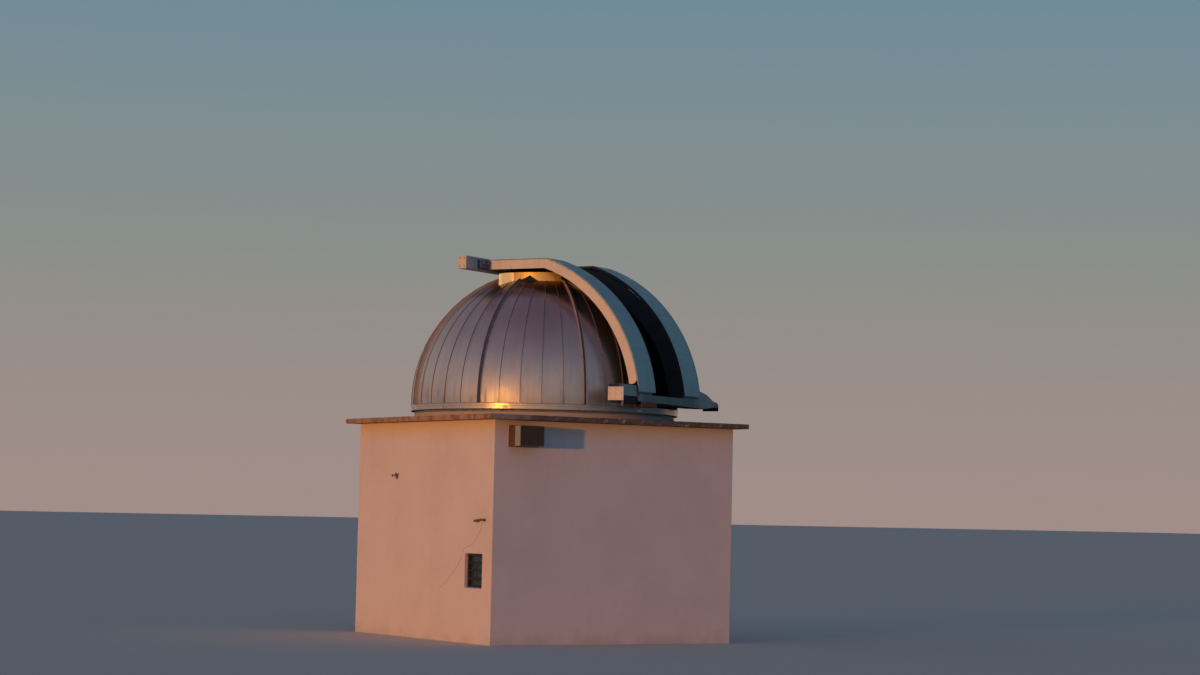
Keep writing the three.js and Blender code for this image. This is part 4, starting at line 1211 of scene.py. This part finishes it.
inner_x, outer_x = SHUTTER_INNER, SHUTTER_OUTER
for side_name, side in SIDES:
    body = f"shutter_{side_name}"
    rounded(f"shutter_skin_{side_name}", "skin", 0.004)
    rounded(f"shutter_side_{side_name}", "side", 0.004)
    rounded(f"shutter_carriage_{side_name}", "carriage", 0.006)

    strips = Shape(body)
    for t in (0.25, 0.5, 0.75, 1.0, 1.5):
        strips.shutter_bar(side, inner_x + 0.015, outer_x - 0.014, -0.0025, 0.003, t - 0.006, t + 0.006)
    strips.shutter_bar(side, inner_x + 0.002, inner_x + 0.03, -0.003, 0.002, 0.004, 1.996)
    strips.shutter_bar(side, outer_x - 0.03, outer_x - 0.002, -0.003, 0.002, 0.004, 1.996)
    strips.piece(f"shutter_edge_strips_{side_name}", "skin", 40)
    side_strip = Shape(body)
    side_strip.shutter_bar(side, outer_x - 0.001, outer_x + 0.003, 0.03, 0.06, 0.08, 1.99)
    side_strip.piece(f"shutter_side_strip_{side_name}", "shutter", 40)

    inner = Shape(body)
    for t in (0.12, 0.37, 0.62, 0.87, 1.25, 1.75):
        inner.shutter_bar(side, inner_x + 0.022, outer_x - 0.021, 0.0185, 0.055, t - 0.003, t + 0.003)
    inner.shutter_bar(side, outer_x - 0.027, outer_x - 0.019, 0.21, 0.218, 0.055, 1.98)
    inner.piece(f"shutter_inner_stiffeners_{side_name}", "inside")

    studs = Shape(body)
    for i in range(38):
        t = (i + 0.5) / 27 if i < 27 else 1 + (i - 26.5) / 11
        (y0, z0), (y1, z1) = shutter_point(0, t), shutter_point(0.1, t)
        ray = Vector((0, y0 - y1, z0 - z1)).normalized()
        for x in (inner_x + 0.016, outer_x - 0.016):
            studs.stud(Vector((side * x, y0, z0)) + ray * 0.003, ray, 0.006, 0.0035, 6)
        if i > 1:
            studs.stud((side * (outer_x + 0.003), *shutter_point(0.045, t)), (side, 0, 0), 0.006, 0.0035, 6)
    studs.piece(f"shutter_rivets_{side_name}", "shutter")

    runner = Shape(body)
    for x in (1.45, 1.64):
        runner.rod((side * x, 0.632, AXLE_Z), (side * x, 0.644, AXLE_Z), 0.034, 20)
        runner.bolt((side * x, 0.632, AXLE_Z), (0, -1, 0), 0.012, 0.012)
        runner.bolt((side * x, 0.64, AXLE_Z - 0.1), (0, -1, 0), 0.01, 0.009)
    runner.piece(f"carriage_axles_{side_name}", "bolt")

# Floor, light, backdrop and camera

FLOOR_HALF = 600
corners = [(x * FLOOR_HALF, y * FLOOR_HALF, 0) for x, y in ((-1, -1), (1, -1), (1, 1), (-1, 1))]
floor_data = bpy.data.meshes.new("studio_floor")
floor_data.from_pydata(corners, [], [(0, 1, 2, 3)])
floor = bpy.data.objects.new("studio_floor", floor_data)
link(floor)
floor_data.materials.append(Finish("studio_floor", (0.66, 0.56, 0.44), 0.9, specular=0.2).done())


def sun_lamp(name, towards, color, strength, angle_deg):
    """A lamp that sheet metal doesn't mirror; the backdrop's glow stands in its place there."""
    lamp = bpy.data.lights.new(name, "SUN")
    lamp.color = color
    lamp.energy = strength
    lamp.angle = radians(angle_deg)
    holder = bpy.data.objects.new(name, lamp)
    holder.rotation_euler = Vector(towards).to_track_quat("Z", "Y").to_euler()
    holder.visible_glossy = False
    link(holder)


KEY_DIRECTION = Vector((-0.938, -0.345, 0.014))
sun_lamp("warm_key", KEY_DIRECTION, (1.0, 0.43, 0.1), 2.0, 1.5)
sun_lamp("cool_fill", (-0.35, -0.75, 0.55), (0.0, 0.42, 1.0), 0.42, 120)

world = bpy.data.worlds.new("studio_backdrop")
bpy.context.scene.world = world
world.use_nodes = True
sky = Nodes(world.node_tree, "Generated")


def gradient(*colors):
    """A backdrop that changes with height, through stops of (height, colour)."""
    shown = sky.add("ValToRGB", "Color", {"Fac": sky.z})
    stops = shown.socket.node.color_ramp.elements
    stops[0].position, stops[1].position = colors[0][0], colors[-1][0]
    for at, _ in colors[1:-1]:
        stops.new(at)
    for stop, (_, color) in zip(stops, colors):
        stop.color = (*color, 1)
    return shown


def glow_share(wide, tall, height):
    """A soft spot of the backdrop round the key lamp's direction."""
    key = Vector((KEY_DIRECTION.x, KEY_DIRECTION.y, 0)).normalized()
    sideways = sky.dot((-key.y, key.x, 0)) / wide
    upward = (sky.z - height) / tall
    falloff = sky.math("EXPONENT", (sideways * sideways + upward * upward) * -1.0)
    return falloff * (sky.dot(key) > 0.0)


# One soft gradient stands behind the building, a warmer and brighter one behind the camera and a dark blue one to
# the right. Two glows lie round the key lamp, one wide and dim and one small and bright.
behind = gradient(
    (0.0, (0.36, 0.27, 0.25)), (0.05, (0.32, 0.27, 0.25)), (0.1, (0.25, 0.275, 0.26)), (0.19, (0.16, 0.26, 0.32)),
    (0.35, (0.13, 0.17, 0.2)), (1.0, (0.065, 0.065, 0.11)),
)
before = gradient(
    (0.0, (0.25, 0.2, 0.17)), (0.1, (0.32, 0.32, 0.33)), (0.3, (0.28, 0.33, 0.39)), (0.48, (0.19, 0.235, 0.335)),
    (0.65, (0.125, 0.155, 0.25)), (0.83, (0.095, 0.105, 0.19)), (1.0, (0.055, 0.062, 0.12)),
)
beside = gradient(
    (0.0, (0.05, 0.085, 0.11)), (0.3, (0.055, 0.12, 0.2)), (0.6, (0.06, 0.12, 0.21)), (0.85, (0.06, 0.08, 0.155)),
    (1.0, (0.07, 0.07, 0.13)),
)
light = sky.mix(sky.ramp(sky.dot((0.866, -0.5, 0.0)), 0.05, 0.95), before, beside)
light = sky.mix(sky.ramp(sky.dot((0.535, 0.845, 0.0)), 0.4, 0.9), light, behind)
light = sky.mix(glow_share(0.45, 0.15, 0.04), light, (0.8, 0.37, 0.05), "ADD")
light = sky.mix(glow_share(0.1, 0.08, 0.03), light, (7.0, 3.8, 0.3), "ADD")
backdrop = sky.tree.nodes["Background"].inputs
sky.put(light, backdrop["Color"])
backdrop["Strength"].default_value = 1.0
bpy.context.scene.view_settings.view_transform = "Standard"

SENSOR_WIDTH = 36.0
FOCAL_PIXELS = 2711.6
PHOTO_WIDTH = 1200
camera_data = bpy.data.cameras.new("photo_view")
camera_data.sensor_fit = "HORIZONTAL"
camera_data.sensor_width = SENSOR_WIDTH
camera_data.lens = SENSOR_WIDTH * FOCAL_PIXELS / PHOTO_WIDTH
camera_data.clip_end = 2000
camera = bpy.data.objects.new("photo_view", camera_data)
forward = Vector((0.53368, 0.84324, 0.0643)).normalized()
right = Vector((0.84405, -0.53583, 0.02143)).normalized()
basis = Matrix((right, right.cross(forward).normalized(), -forward)).transposed()
camera.matrix_world = Matrix.Translation((-31.069, -51.325, 2.782)) @ basis.to_4x4()
link(camera)
bpy.context.scene.camera = camera
